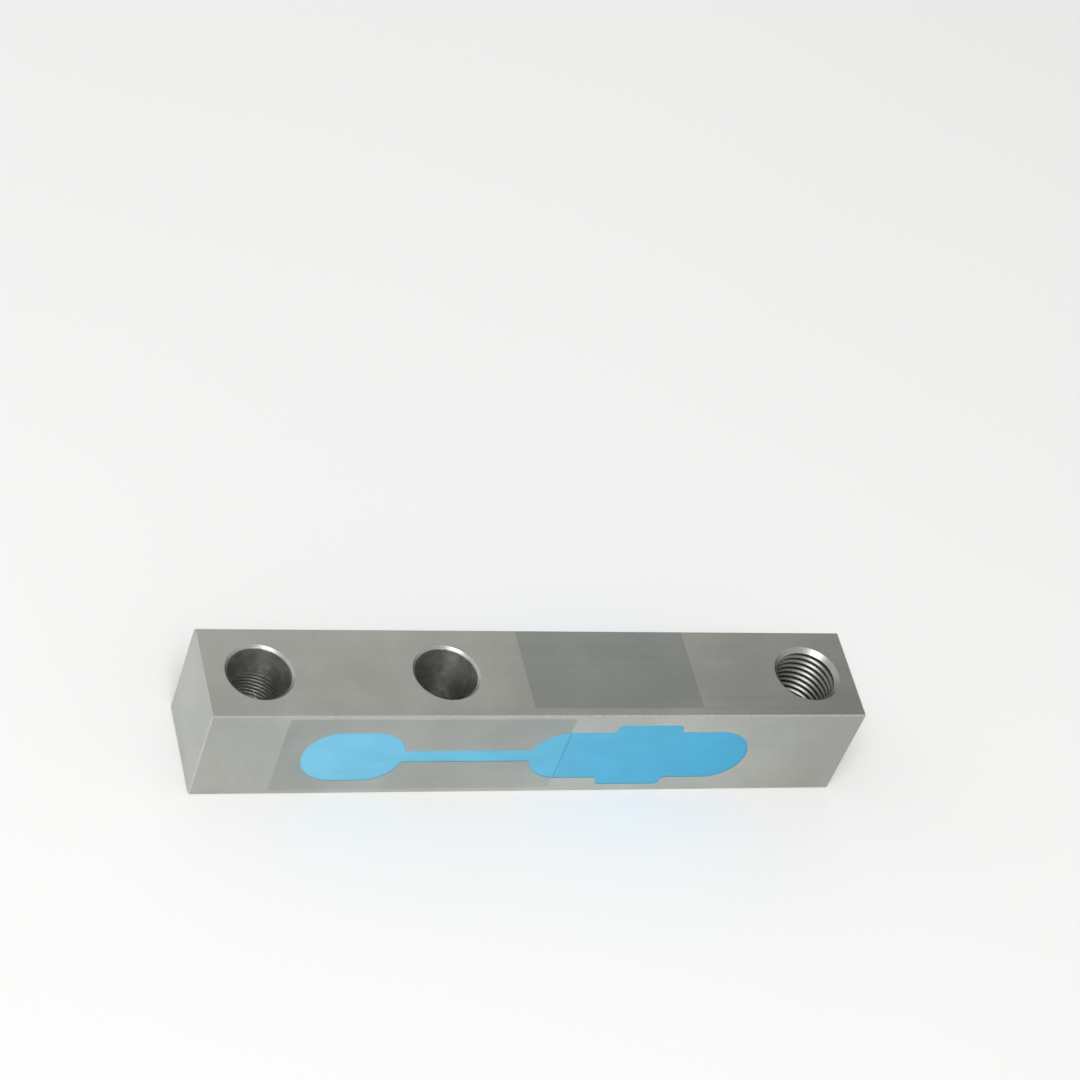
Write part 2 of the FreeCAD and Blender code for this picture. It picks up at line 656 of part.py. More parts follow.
def make_jumper():
    """A flat ribbon lead from the rear terminal strip, through the cross hole, to the front one."""
    under = "sizes.axis_z - sizes.ribbon_width / 2"
    run = "sizes.ribbon_run_y"
    runs = ["sizes.ribbon_x", run, "sizes.passage_x", f"-{run}", "sizes.ribbon_x"]
    start, end = "sizes.ribbon_end_y", "-sizes.ribbon_end_y"
    body = bent_strip("rear_jumper", under, "sizes.ribbon_width", start, runs, end, "sizes.ribbon_bend")
    for side, name in ((REAR, "rear_conductor"), (FRONT, "front_conductor")):
        copper_row(
            body, name, side, "sizes.ribbon_x", "sizes.on_strip_y",
            "sizes.conductor_width", "sizes.conductor_width", "sizes.terminal_span", "sizes.ribbon_bare",
        )
    return body


def make_sleeve():
    body = new_body("passage_sleeve")
    y_out = f"{HALF_WIDTH} - sizes.slot_depth"
    outline = side_sketch(body, "sleeve_outline", FRONT, "sizes.passage_x", "sizes.axis_z", y_out)
    draw_ring(outline, "sizes.sleeve_diameter", "sizes.sleeve_bore")
    pad(body, outline, "sizes.sleeve_length", against_normal=True)
    return body


# Terminal board


def make_board():
    """A round-ended board on the pocket's floor, open in the middle for the cable, with lands at each end."""
    body = new_body("terminal_board")
    floor = f"{HALF_WIDTH} - sizes.pocket_depth"
    outline = side_sketch(body, "board_outline", FRONT, "sizes.pocket_x", "sizes.axis_z", floor)
    draw_stadium(outline, "sizes.board_length", "sizes.board_height")
    pad(body, outline, "sizes.board_thickness")
    surface = f"{floor} + sizes.board_thickness"
    opening = side_sketch(body, "board_opening", FRONT, "sizes.pocket_x", "sizes.axis_z", surface)
    draw_circle(opening, "sizes.inlet_bore")
    pocket(body, opening)
    copper_row(
        body, "wire_land", FRONT, "sizes.board_wire_x", surface,
        "sizes.land_length", "sizes.terminal_width", "sizes.terminal_span",
    )
    copper_row(
        body, "core_land", FRONT, "sizes.board_core_x", surface,
        "sizes.land_length", "sizes.core_land_width", "sizes.core_land_span",
    )
    return body


def make_resistors():
    """Chip resistors in two rows on the board, either side of the cable's opening."""
    surface = f"{HALF_WIDTH} - sizes.pocket_depth + sizes.board_thickness"
    places = {
        "span_resistor_plus": (-1, 1),
        "zero_balance_resistor": (1, 1),
        "span_resistor_minus": (-1, -1),
        "zero_drift_resistor": (1, -1),
    }
    resistors = []
    for label, (across, up) in places.items():
        body = new_body(label)
        x = f"sizes.pocket_x + {across} * sizes.chip_spacing / 2"
        z = f"sizes.axis_z + {up} * sizes.chip_row_z"
        outline = side_sketch(body, f"{label}_outline", FRONT, x, z, surface)
        draw_rectangle(outline, "sizes.chip_length", "sizes.chip_width")
        pad(body, outline, "sizes.chip_height")
        resistors.append(body)
    return resistors


# Sealant


def make_fill(label, side, names):
    """The pockets' volume on one side, up to just below the bar's face."""
    body = new_body(label)
    surface = f"{HALF_WIDTH} - sizes.sealant_recess"
    for name in names:
        draw, x, depth = POCKETS[name]
        sketch = side_sketch(body, f"{label}_{name}", side, x, "sizes.axis_z", surface)
        draw(sketch)
        pad(body, sketch, f"{depth} - sizes.sealant_recess", against_normal=side == FRONT)
    round_ledges(body, f"{label}_ledges")
    return body


def make_sealant(label, fill, embedded):
    """The potting on one side: the fill around the pieces that it embeds."""
    inside = doc.addObject("Part::MultiFuse", f"{label}_inside")
    inside.Shapes = embedded
    cut = doc.addObject("Part::Cut", label)
    cut.Label = label
    cut.Base = fill
    cut.Tool = inside
    doc.recompute()
    return cut


def make_front_fill():
    """The front pockets' volume, with what fills the cross hole and less the cable's end."""
    body = make_fill("front_fill", FRONT, list(POCKETS))
    floor = f"{HALF_WIDTH} - sizes.slot_depth"
    core = side_sketch(body, "passage_fill", FRONT, "sizes.passage_x", "sizes.axis_z", floor)
    draw_circle(core, "sizes.sleeve_bore")
    pad(body, core, "sizes.sleeve_length", against_normal=True)
    bottom = f"{HALF_WIDTH} - sizes.pocket_depth"
    socket = side_sketch(body, "cable_socket", FRONT, "sizes.pocket_x", "sizes.axis_z", bottom)
    draw_circle(socket, "sizes.cable_diameter")
    pocket(body, socket, "sizes.board_thickness + sizes.socket_depth", along_normal=True)
    return body


# The whole cell

beam = make_beam()
gland = make_gland()
front_strip = make_strip("front_terminal_strip", FRONT)
rear_strip = make_strip("rear_terminal_strip", REAR)
front_gauge = make_gauge("front_shear_gauge", FRONT)
rear_gauge = make_gauge("rear_shear_gauge", REAR)
bridge_wires = make_bridge_wires()
jumper = make_jumper()
sleeve = make_sleeve()
board = make_board()
resistors = make_resistors()
doc.recompute()

front_pieces = [front_strip, front_gauge, board, *resistors, *bridge_wires, jumper]
front_sealant = make_sealant("front_sealant", make_front_fill(), front_pieces)
rear_fill = make_fill("rear_fill", REAR, REAR_POCKETS)
rear_sealant = make_sealant("rear_sealant", rear_fill, [rear_strip, rear_gauge, jumper])

nodes = [beam, front_sealant, rear_sealant, front_gauge, rear_gauge, front_strip, rear_strip]
nodes += [sleeve, jumper, *bridge_wires, board, *resistors, *gland]

doc.recompute()
for item in doc.Objects:
    if {"Invalid", "Error"} & set(item.State):
        raise RuntimeError(f"{item.Name} failed: {item.State}")
for node in nodes:
    if node.Shape.isNull() or not node.Shape.isValid() or len(node.Shape.Solids) != 1:
        raise RuntimeError(f"{node.Label} isn't one valid solid")

os.makedirs("parts", exist_ok=True)
for node in nodes:
    node.Shape.exportStep(f"parts/{node.Label}.step")
print(f"{len(nodes)} pieces, beam {beam.Shape.Volume / 1000:.1f} cm3")
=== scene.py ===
import json
import math

import bmesh
import bpy
import numpy as np
from bpy.props import FloatProperty, FloatVectorProperty, IntProperty, PointerProperty
from mathutils import Matrix, Vector, geometry, noise


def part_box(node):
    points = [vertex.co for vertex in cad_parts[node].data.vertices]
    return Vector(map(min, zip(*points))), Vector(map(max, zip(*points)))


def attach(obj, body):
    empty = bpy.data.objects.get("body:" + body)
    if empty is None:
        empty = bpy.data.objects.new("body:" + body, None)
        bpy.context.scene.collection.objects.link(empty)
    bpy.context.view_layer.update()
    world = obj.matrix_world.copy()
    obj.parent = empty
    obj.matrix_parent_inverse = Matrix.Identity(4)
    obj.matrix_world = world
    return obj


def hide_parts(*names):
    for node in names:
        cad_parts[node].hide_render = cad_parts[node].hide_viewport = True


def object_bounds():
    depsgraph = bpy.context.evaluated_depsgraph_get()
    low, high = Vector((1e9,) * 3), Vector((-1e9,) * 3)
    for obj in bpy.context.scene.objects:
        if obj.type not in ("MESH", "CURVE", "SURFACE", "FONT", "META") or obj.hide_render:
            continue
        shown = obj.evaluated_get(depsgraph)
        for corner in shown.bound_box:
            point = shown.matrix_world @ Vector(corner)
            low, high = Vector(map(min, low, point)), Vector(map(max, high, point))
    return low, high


bl_info = {
    "name": "Shear beam load cell",
    "version": (1, 0, 0),
    "blender": (4, 5, 0),
    "location": "3D View > Sidebar > Load cell",
    "description": "Dresses a packed shear beam load cell: ground steel, tapped hole, potted pockets",
    "category": "Object",
}

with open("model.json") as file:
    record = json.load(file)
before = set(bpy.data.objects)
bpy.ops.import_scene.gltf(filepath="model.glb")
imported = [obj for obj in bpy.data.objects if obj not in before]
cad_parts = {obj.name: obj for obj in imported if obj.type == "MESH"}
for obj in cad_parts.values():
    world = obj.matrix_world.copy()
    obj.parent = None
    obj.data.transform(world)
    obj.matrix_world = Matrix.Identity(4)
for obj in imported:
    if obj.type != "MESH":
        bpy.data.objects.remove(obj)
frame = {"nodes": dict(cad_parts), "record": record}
CAD_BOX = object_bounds()
NODES = frame["nodes"]
MOUNTS = {mount["name"]: mount for mount in frame["record"]["mounts"]}
MM = 0.001
PER_METRE = 1000.0

# The bar's lowest and highest corners, in mm
BAR_LOW, BAR_HIGH = (corner * PER_METRE for corner in CAD_BOX)

# A face's own tone, in mm below the face: full down to the skin, and gone at the depth
FACE_SKIN = 0.1
END_DEPTH = 0.2
SIDE_DEPTH = 0.3

# Where along the bar, in mm, the front's tone and the load end's tone change: painted shade, darker at the
# front's mounting end and at the load end
FRONT_SHADE = (-58.0, -30.0)
LOAD_END_SHADE = (26.0, 68.0)

# Wiped patches on the front and the top, in mm
FRONT_PATCH = {
    "Middle": (-24.0, BAR_LOW.y, 12.55), "Half": (29.9, 0.3, 11.3), "Corner": 0.25, "Softness": 0.12,
}
TOP_PATCH = {
    "Middle": (15.5, 0.9, BAR_HIGH.z), "Half": (18.3, 9.95, 0.2), "Corner": 0.15, "Softness": 0.12,
}
# Strength of the front patch at two heights in mm, and the tone of the top patch's border
FRONT_PATCH_FADE = ((2.0, 0.65), (22.0, 1.0))
TOP_PATCH_BORDER = 0.86
# A mask times its opposite comes to this in the middle of its border
BORDER_PEAK = 0.25

# Turning marks in the plain holes: pitch in mm, share of the depth, and the height in mm that they reach
TURNED_HOLES = {
    "outer_mounting_hole": ((1.0, 0.75, 16.5), (0.2, 0.5, 30.0)),
    "inner_mounting_hole": ((0.2, 0.5, 30.0),),
}
TURNED_FADE = 1.5
# Scuffs in the plain holes: their size in mm, and how far they change the tone
SCUFF_SIZE = 2.2
SCUFF_SWING = 0.18
# Turning marks, in mm: how far they stray, with the waves per mm, and their soft border
RING_STRAY = 0.3
RING_STRAY_WAVES = 0.35
RING_BORDER = 0.05
# Streaks of tone in the grinding have this share of the waves of its scratches
STREAK_SHARE = 0.21

# Chamfers, in mm: the band below a hole's cone, and the cone's soft border
CHAMFERED_HOLES = ("outer_mounting_hole", "inner_mounting_hole", "load_thread")
CONE_BAND = (-0.12, -0.04)
CONE_BORDER = 0.04
# A hole's finish reaches this many mm into its wall
WALL_SKIN = 0.1

# Edges: their band inside the bar's box in mm, the weight of the ends, sides and top, and the least
# brightening; the edges' lighter colour is partly wear and partly painted highlight
EDGE_BAND = (-0.33, -0.27)
EDGE_WEIGHTS = (0.55, 1.0, 1.0)
LEAST_EDGE_BRIGHTENING = 0.55
# What each place adds to the steel's roughness
STEEL_ROUGHER = {"edges": -0.16, "chamfers": -0.02, "thread": 0.01, "bores": -0.03}

# Thread: half of a groove's width, in pitches, at a share of the way from crest to root
GROOVE = ((-0.45, 0.49), (0.0, 0.405), (0.1, 0.325), (0.62, 0.135), (0.9, 0.075), (1.0, 0.035))
# The groove leaves the wall over this share of a turn, moved in by this many groove depths
RUN_OUT_TURN = 0.35
RUN_OUT_DEPTH = 1.3
# Painted shade in the thread gets darker from this share of the way from crest to root
THREAD_SHADE_START = 0.25

# Sealant, in mm along the bar: its drift of colour, the seam's softness, and the tone beside the seam
POUR_DRIFT = (-50.0, 48.0)
SEAM_SOFTNESS = 0.12
SEAM_LINE = ((0.08, 0.72), (0.2, 1.0))
# The sealant's clouds are longest along the bar
POUR_STRETCH = (0.6, 1.0, 1.4)
# Net of a cured surface, in mm: steps along its rim, rows inside the rim, and steps of its field
RIM_STEP = 0.45
RIM_ROWS = (0.15, 0.4, 0.85)
FIELD_STEP = 0.9
# A row's points keep this share of the row's distance from all of the rim
ROW_ROOM = 0.9
# A probe this many mm off the rim tells which way is inside
RIM_PROBE = 0.01
# Only triangles inside the rim, with points joined that are this many mm apart
INSIDE_ONLY = 1
NET_WELD = 1e-5
# The wall draws the surface down within this many mm
WALL_REACH = 0.35
# The ripple's waves per mm, along and up; each side has waves of its own
RIPPLE_WAVES = (0.16, 0.3)
RIPPLE_SIDE = 7.0
# A cured surface reaches this far into its sealant
SEAT = 0.02 * MM

# Metal on a film or board stands this far off it, with a soft border in mm
FOIL = 0.05 * MM
FOIL_BORDER = 0.005
# The ribbon's cores, and the border of its marked one in cores
RIBBON_CORES = 4
MARK_BORDER = 0.05
# A resistor's ends start here, in lengths from its middle
CHIP_END = (0.335, 0.345)
RESISTORS = ("span_resistor_plus", "span_resistor_minus", "zero_balance_resistor", "zero_drift_resistor")

# Meshes: corners are joined within this many metres, and edges are sharp from this angle
WELD = 1e-6
SMOOTH_ANGLE = math.radians(30)

# Stage, in metres, with the floor's clouds in mm
FLOOR_HALF = 3.0
FLOOR_CORNERS = ((-1, -1), (1, -1), (1, 1), (-1, 1))
FLOOR_DROP = 0.00005
FLOOR_CLOUD = 400.0
CAMERA_CLIP = (0.01, 20.0)
# Strength of the light from behind by its direction along X, then from the front, and the turn between
LIGHT_BEHIND = ((-0.64, 0.85), (-0.5, 0.5), (0.1, 0.85), (0.19, 0.85), (0.46, 0.33))
LIGHT_IN_FRONT = 0.65
LIGHT_TURN = 0.2


# Settings that a user would change


def colour(name, description, default):
    return FloatVectorProperty(
        name=name, description=description, default=default, subtype="COLOR", size=3, min=0.0, max=1.0
    )


def length(name, description, millimetres):
    return FloatProperty(
        name=name, description=description, default=millimetres * MM, unit="LENGTH", precision=5
    )


def share(name, description, default, most=1.0):
    return FloatProperty(name=name, description=description, default=default, min=0.0, max=most)


def spot(name, description, default):
    return FloatVectorProperty(name=name, description=description, default=default, subtype="TRANSLATION")


def direction(name, description, default):
    return FloatVectorProperty(name=name, description=description, default=default, subtype="DIRECTION")


class BeamSettings(bpy.types.PropertyGroup):
    """Finish of the bar with its painted shade and highlight, and sizes of its thread"""

    steel: colour("Steel", "Ground steel of the bar", (0.50, 0.511, 0.475))
    wiped: colour("Wiped steel", "Tint of the wiped patches on the front and the top", (0.79, 0.803, 0.815))
    # Edge colour: partly wear, partly painted highlight along the broken edges
    edge: colour("Edge", "Steel on the broken edges", (0.71, 0.725, 0.685))
    end: colour("End", "Tint of the mounting end's face", (0.93, 0.94, 0.965))
    # Painted shade and light: darker at the load end, the front's mounting end and the top's front, lighter
    # at the top's back
    load_end: share("Load end tone", "Steel's brightness at the load end", 0.80)
    front_end: share("Front end tone", "Front's brightness at the mounting end", 0.90)
    top_front: share("Top front tone", "Top's brightness at its front", 0.98, 2.0)
    top_back: share("Top back tone", "Top's brightness at its back", 1.07, 2.0)
    # Painted shade in the plain holes
    bore: share("Bore tone", "Steel's brightness in the plain holes", 0.66)
    roughness: share("Roughness", "Roughness of the ground faces", 0.36)
    thread_major: length("Thread diameter", "Across the thread's grooves", 14.0)
    thread_minor: length("Thread bore", "Across the thread's crests", 12.5)
    thread_pitch: length("Thread pitch", "From one groove to the next", 1.5)
    thread_start: length("Thread start", "First groove's middle below the bar's face", 1.05)
    # Painted shade in the tapped hole, deepest at the thread's roots
    thread_tone: share("Thread tone", "Steel's brightness on the thread's crests", 0.62)
    groove_tone: share("Groove tone", "Steel's brightness at the bottom of the thread's grooves", 0.48)
    thread_steps: IntProperty(
        name="Thread steps", description="Steps in one turn of the thread", default=72, min=24, max=128
    )


class SealantSettings(bpy.types.PropertyGroup):
    """Colour and cured surface of the potting compound"""

    pale: colour("Pale blue", "Sealant over the terminal pocket", (0.180, 0.545, 0.765))
    deep: colour("Deep blue", "Sealant over the shear web", (0.050, 0.395, 0.640))
    second: colour("Second pour", "Tint of the pour beyond the seam", (0.9, 0.965, 0.985))
    seam_x: length("Seam", "Where two pours meet, along the bar", 6.05)
    roughness: share("Roughness", "Roughness of the cured surface", 0.5)
    crown: length("Crown", "Middle of the cured surface below the bar's face", 0.03)
    shrink: length("Shrinkage", "How far the cured surface draws down at the pocket's wall", 0.06)
    ripple: length("Ripple", "Unevenness of the cured surface", 0.02)


class WiringSettings(bpy.types.PropertyGroup):
    """Colours of the gauges, the board and the wires"""

    film: colour("Film", "Gauge and terminal carrier film", (0.56, 0.30, 0.07))
    foil: colour("Foil", "Gauge foil", (0.62, 0.52, 0.42))
    copper: colour("Copper", "Terminals and lands", (0.72, 0.42, 0.25))
    board: colour("Board", "Terminal board", (0.03, 0.16, 0.055))
    chip: colour("Chip", "Resistor body", (0.025, 0.025, 0.028))
    solder: colour("Solder", "Resistor ends", (0.62, 0.62, 0.60))
    sleeve: colour("Sleeve", "Insulating sleeve", (0.80, 0.79, 0.75))
    ribbon: colour("Ribbon", "Ribbon lead", (0.36, 0.36, 0.37))
    red: colour("Red wire", "Excitation plus", (0.50, 0.025, 0.02))
    black: colour("Black wire", "Excitation minus", (0.018, 0.018, 0.02))
    green: colour("Green wire", "Signal plus", (0.03, 0.25, 0.06))
    white: colour("White wire", "Signal minus", (0.78, 0.77, 0.74))


class GlandSettings(bpy.types.PropertyGroup):
    """Finish of the cable inlet"""

    nickel: colour("Nickel", "Plated gland screw and washer", (0.60, 0.575, 0.52))
    rubber: colour("Rubber", "Cable seal", (0.018, 0.018, 0.018))
    ring_pitch: length("Turning marks", "Between turning marks on the gland screw", 0.12)


class StageSettings(bpy.types.PropertyGroup):
    """Floor, light and camera"""

    floor: colour("Floor", "Floor", (0.90, 0.90, 0.90))
    light: colour("Light", "Colour of the light all round", (1.0, 1.0, 0.985))
    key: FloatProperty(name="Key", description="Power of the large soft lamp", default=9.2, unit="POWER")
    key_size: length("Key size", "Width of the large soft lamp", 600.0)
    key_place: spot("Key place", "Where the large soft lamp hangs", (-0.34, -0.62, 1.15))
    lens: FloatProperty(name="Lens", description="Focal length", default=109.844, unit="CAMERA")
    camera: spot("Camera", "Camera's place", (-0.230859, -0.395976, 0.510113))
    right: direction("Right", "Direction of the picture's right", (0.938229, -0.21694, 0.269562))
    up: direction("Up", "Direction of the picture's top", (0.001936, 0.782326, 0.622866))
    rise: share("Rise", "Share of the picture's width by which the view is raised", 0.1593)


# Node trees


class Graph:
    """A node tree in the making."""

    def __init__(self, tree):
        self.tree = tree

    def add(self, kind, *sources, **settings):
        """A new node with its settings, and its first sockets fed in order."""
        node = self.tree.nodes.new(kind)
        for name, setting in settings.items():
            setattr(node, name, setting)
        for socket, source in zip(node.inputs, sources):
            self.feed(socket, source)
        return node

    def feed(self, socket, source):
        """Link a socket, or set it where the source is a plain value."""
        if isinstance(source, bpy.types.NodeSocket):
            self.tree.links.new(source, socket)
        else:
            socket.default_value = source

    def feed_named(self, node, inputs):
        """Feed a node's sockets by their names; returns its outputs."""
        for name, source in inputs.items():
            self.feed(node.inputs[name], source)
        return node.outputs

    def math(self, operation, *sources, clamp=False):
        return self.add("ShaderNodeMath", *sources, operation=operation, use_clamp=clamp).outputs[0]

    def product(self, first, *others):
        for other in others:
            first = self.math("MULTIPLY", first, other)
        return first

    def vector(self, operation, *sources):
        node = self.add("ShaderNodeVectorMath", *sources, operation=operation)
        return node.outputs["Value" if operation == "LENGTH" else "Vector"]

    def scaled(self, vector, by):
        node = self.add("ShaderNodeVectorMath", vector, operation="SCALE")
        self.feed(node.inputs["Scale"], by)
        return node.outputs["Vector"]

    def parts(self, vector):
        return self.add("ShaderNodeSeparateXYZ", vector).outputs

    def joined(self, *sources):
        return self.add("ShaderNodeCombineXYZ", *sources).outputs[0]

    def around(self, place, axis):
        """The way from an upright axis, and the distance from it."""
        away = self.vector("SUBTRACT", place, axis)
        return away, self.vector("LENGTH", self.vector("MULTIPLY", away, (1, 1, 0)))

    def spread(self, value, low, high, to_low=0.0, to_high=1.0, smooth=False):
        """A value's range mapped onto another, and held at its ends."""
        kind = "SMOOTHSTEP" if smooth else "LINEAR"
        node = self.add("ShaderNodeMapRange", value, low, high, to_low, to_high, interpolation_type=kind)
        return node.outputs[0]

    def about(self, tone, middle, swing):
        """A tone from 0 to 1 made to swing about a middle."""
        return self.spread(tone, 0.0, 1.0, middle - swing, middle + swing)

    def uneven(self, height, reach, low=0.0, high=1.0, smooth=False):
        """Noise, which lies mostly within a reach of one half, mapped onto a range."""
        return self.spread(height, 0.5 - reach, 0.5 + reach, low, high, smooth)

    def follow(self, value, points):
        """A broken line through points, held at its ends."""
        line = points[0][1]
        for (start, before), (end, after) in zip(points, points[1:]):
            line = self.math("ADD", self.spread(value, start, end, 0.0, after - before), line)
        return line

    def only_in(self, mask, tone):
        """A tone where a mask is, and 1 elsewhere."""
        return self.math("MULTIPLY_ADD", self.math("SUBTRACT", tone, 1.0), mask, 1.0)

    def mix(self, factor, first, second, blend="MIX"):
        """Two colours mixed; plain colours are given as three numbers."""
        node = self.add("ShaderNodeMix", data_type="RGBA", blend_type=blend)
        self.feed(node.inputs["Factor"], factor)
        for socket, source in zip(node.inputs[6:8], (first, second)):
            plain = not isinstance(source, bpy.types.NodeSocket)
            self.feed(socket, (*source, 1.0) if plain else source)
        return node.outputs[2]

    def tinted(self, tint, by):
        """A colour multiplied by another."""
        return self.mix(1.0, tint, by, "MULTIPLY")

    def toned(self, tint, tone):
        """A colour made as bright as a value says."""
        return self.tinted(tint, self.joined(tone, tone, tone))

    def noise(self, vector, scale=1.0, detail=2.0, roughness=0.5):
        inputs = {"Vector": vector, "Scale": scale, "Detail": detail, "Roughness": roughness}
        return self.feed_named(self.add("ShaderNodeTexNoise"), inputs)["Fac"]

    def use(self, name, **inputs):
        """A shared node group, built when it is first asked for, with this material's own values."""
        group = bpy.data.node_groups.get(name) or GROUPS[name](name)
        return self.feed_named(self.add("ShaderNodeGroup", node_tree=group), inputs)

    def bump(self, height, strength, depth, normal=None):
        """The normal of a surface with this relief, whose depth is in mm."""
        inputs = {"Strength": strength, "Distance": depth * MM, "Height": height}
        if normal:
            inputs["Normal"] = normal
        return self.feed_named(self.add("ShaderNodeBump"), inputs)["Normal"]

    def dress(self, shader, tint, rough, normal):
        """Give a shader what changes over the surface."""
        self.feed_named(shader, {"Base Color": tint, "Roughness": rough, "Normal": normal})


def start_group(name, inputs, outputs):
    """An empty shader node group with its sockets; returns its graph, its inputs and its outputs."""
    tree = bpy.data.node_groups.new(name, "ShaderNodeTree")
    for socket, default in inputs.items():
        kind = "NodeSocketVector" if isinstance(default, tuple) else "NodeSocketFloat"
        made = tree.interface.new_socket(name=socket, in_out="INPUT", socket_type=kind)
        made.default_value = default
    for socket in outputs:
        tree.interface.new_socket(name=socket, in_out="OUTPUT", socket_type="NodeSocketFloat")
    graph = Graph(tree)
    return graph, graph.add("NodeGroupInput").outputs, graph.add("NodeGroupOutput").inputs


def build_grinding(name):
    """Fine scratches that run along the bar, and broader streaks of tone."""
    inputs = {"Vector": (0, 0, 0), "Length": 12.0, "Width": 0.12}
    graph, given, put = start_group(name, inputs, ("Height", "Tone"))
    sizes = graph.joined(given["Length"], given["Width"], given["Width"])
    stretched = graph.vector("DIVIDE", given["Vector"], sizes)
    graph.feed(put["Height"], graph.noise(stretched, detail=3.0, roughness=0.65))
    broad = graph.scaled(stretched, STREAK_SHARE)
    graph.feed(put["Tone"], graph.noise(broad, detail=4.0, roughness=0.6))
    return graph.tree


def build_cloud(name):
    """Soft uneven tone, as of handling or an uneven pour."""
    graph, given, put = start_group(name, {"Vector": (0, 0, 0), "Size": 15.0}, ("Tone",))
    coarse = graph.scaled(given["Vector"], graph.math("DIVIDE", 1.0, given["Size"]))
    graph.feed(put["Tone"], graph.uneven(graph.noise(coarse, detail=3.0), reach=0.2, smooth=True))
    return graph.tree


def build_grain(name):
    """Fine grain of a cast, ground or moulded surface."""
    inputs = {"Vector": (0, 0, 0), "Scale": 1.0, "Detail": 2.0, "Roughness": 0.5}
    graph, given, put = start_group(name, inputs, ("Height",))
    graph.feed(put["Height"], graph.noise(*(given[socket] for socket in inputs)))
    return graph.tree


def build_patch(name):
    """A soft-edged box in space: 1 inside and 0 outside."""
    inputs = {
        "Vector": (0, 0, 0), "Middle": (0, 0, 0), "Half": (1, 1, 1), "Corner": 0.5, "Softness": 0.3,
    }
    graph, given, put = start_group(name, inputs, ("Mask",))
    away = graph.vector("ABSOLUTE", graph.vector("SUBTRACT", given["Vector"], given["Middle"]))
    corner = graph.joined(given["Corner"], given["Corner"], given["Corner"])
    past = graph.vector("ADD", graph.vector("SUBTRACT", away, given["Half"]), corner)
    outside = graph.vector("LENGTH", graph.vector("MAXIMUM", past, (0, 0, 0)))
    distance = graph.math("SUBTRACT", outside, given["Corner"])
    near = graph.math("MULTIPLY", given["Softness"], -1.0)
    graph.feed(put["Mask"], graph.spread(distance, near, given["Softness"], 1.0, 0.0, smooth=True))
    return graph.tree


def build_rings(name):
    """Turning marks round an upright axis, and a mask of what lies inside a radius."""
    inputs = {"Vector": (0, 0, 0), "Axis": (0, 0, 0), "Radius": 6.8, "Pitch": 0.35}
    graph, given, put = start_group(name, inputs, ("Height", "Mask"))
    away, out = graph.around(given["Vector"], given["Axis"])
    past = graph.math("SUBTRACT", out, given["Radius"])
    graph.feed(put["Mask"], graph.spread(past, -RING_BORDER, RING_BORDER, 1.0, 0.0))
    stray = graph.product(graph.noise(graph.scaled(away, RING_STRAY_WAVES)), RING_STRAY)
    along = graph.math("ADD", graph.parts(away)["Z"], stray)
    turns = graph.math("DIVIDE", along, given["Pitch"])
    wave = graph.math("SINE", graph.product(turns, 2 * math.pi))
    graph.feed(put["Height"], graph.math("MULTIPLY_ADD", wave, 0.5, 0.5))
    return graph.tree


GROUPS = {
    "grinding_marks": build_grinding,
    "cloudy_tone": build_cloud,
    "fine_grain": build_grain,
    "boxed_patch": build_patch,
    "turned_rings": build_rings,
}


def new_material(name, metallic=0.0, roughness=0.5, specular=0.5):
    """A material with constants on its shader; returns it, its graph, its shader and the place in mm."""
    material = bpy.data.materials.new(name)
    material.use_nodes = True
    graph = Graph(material.node_tree)
    shader = graph.tree.nodes["Principled BSDF"]
    constants = {"Metallic": metallic, "Roughness": roughness, "Specular IOR Level": specular}
    graph.feed_named(shader, constants)
    place = graph.scaled(graph.add("ShaderNodeTexCoord").outputs["Object"], PER_METRE)
    return material, graph, shader, place


def give_material(piece, material):
    piece.data.materials.clear()
    piece.data.materials.append(material)


def paint(tint, low, high):
    """A colour made darker and lighter."""
    return tuple(c * low for c in tint), tuple(min(1.0, c * high) for c in tint)


def clouded(graph, place, tint, size, low, high):
    """A colour that drifts between darker and lighter; returns it with the tone that it follows."""
    tone = graph.use("cloudy_tone", Vector=place, Size=size)["Tone"]
    return graph.mix(tone, *paint(tint, low, high)), tone


# Materials


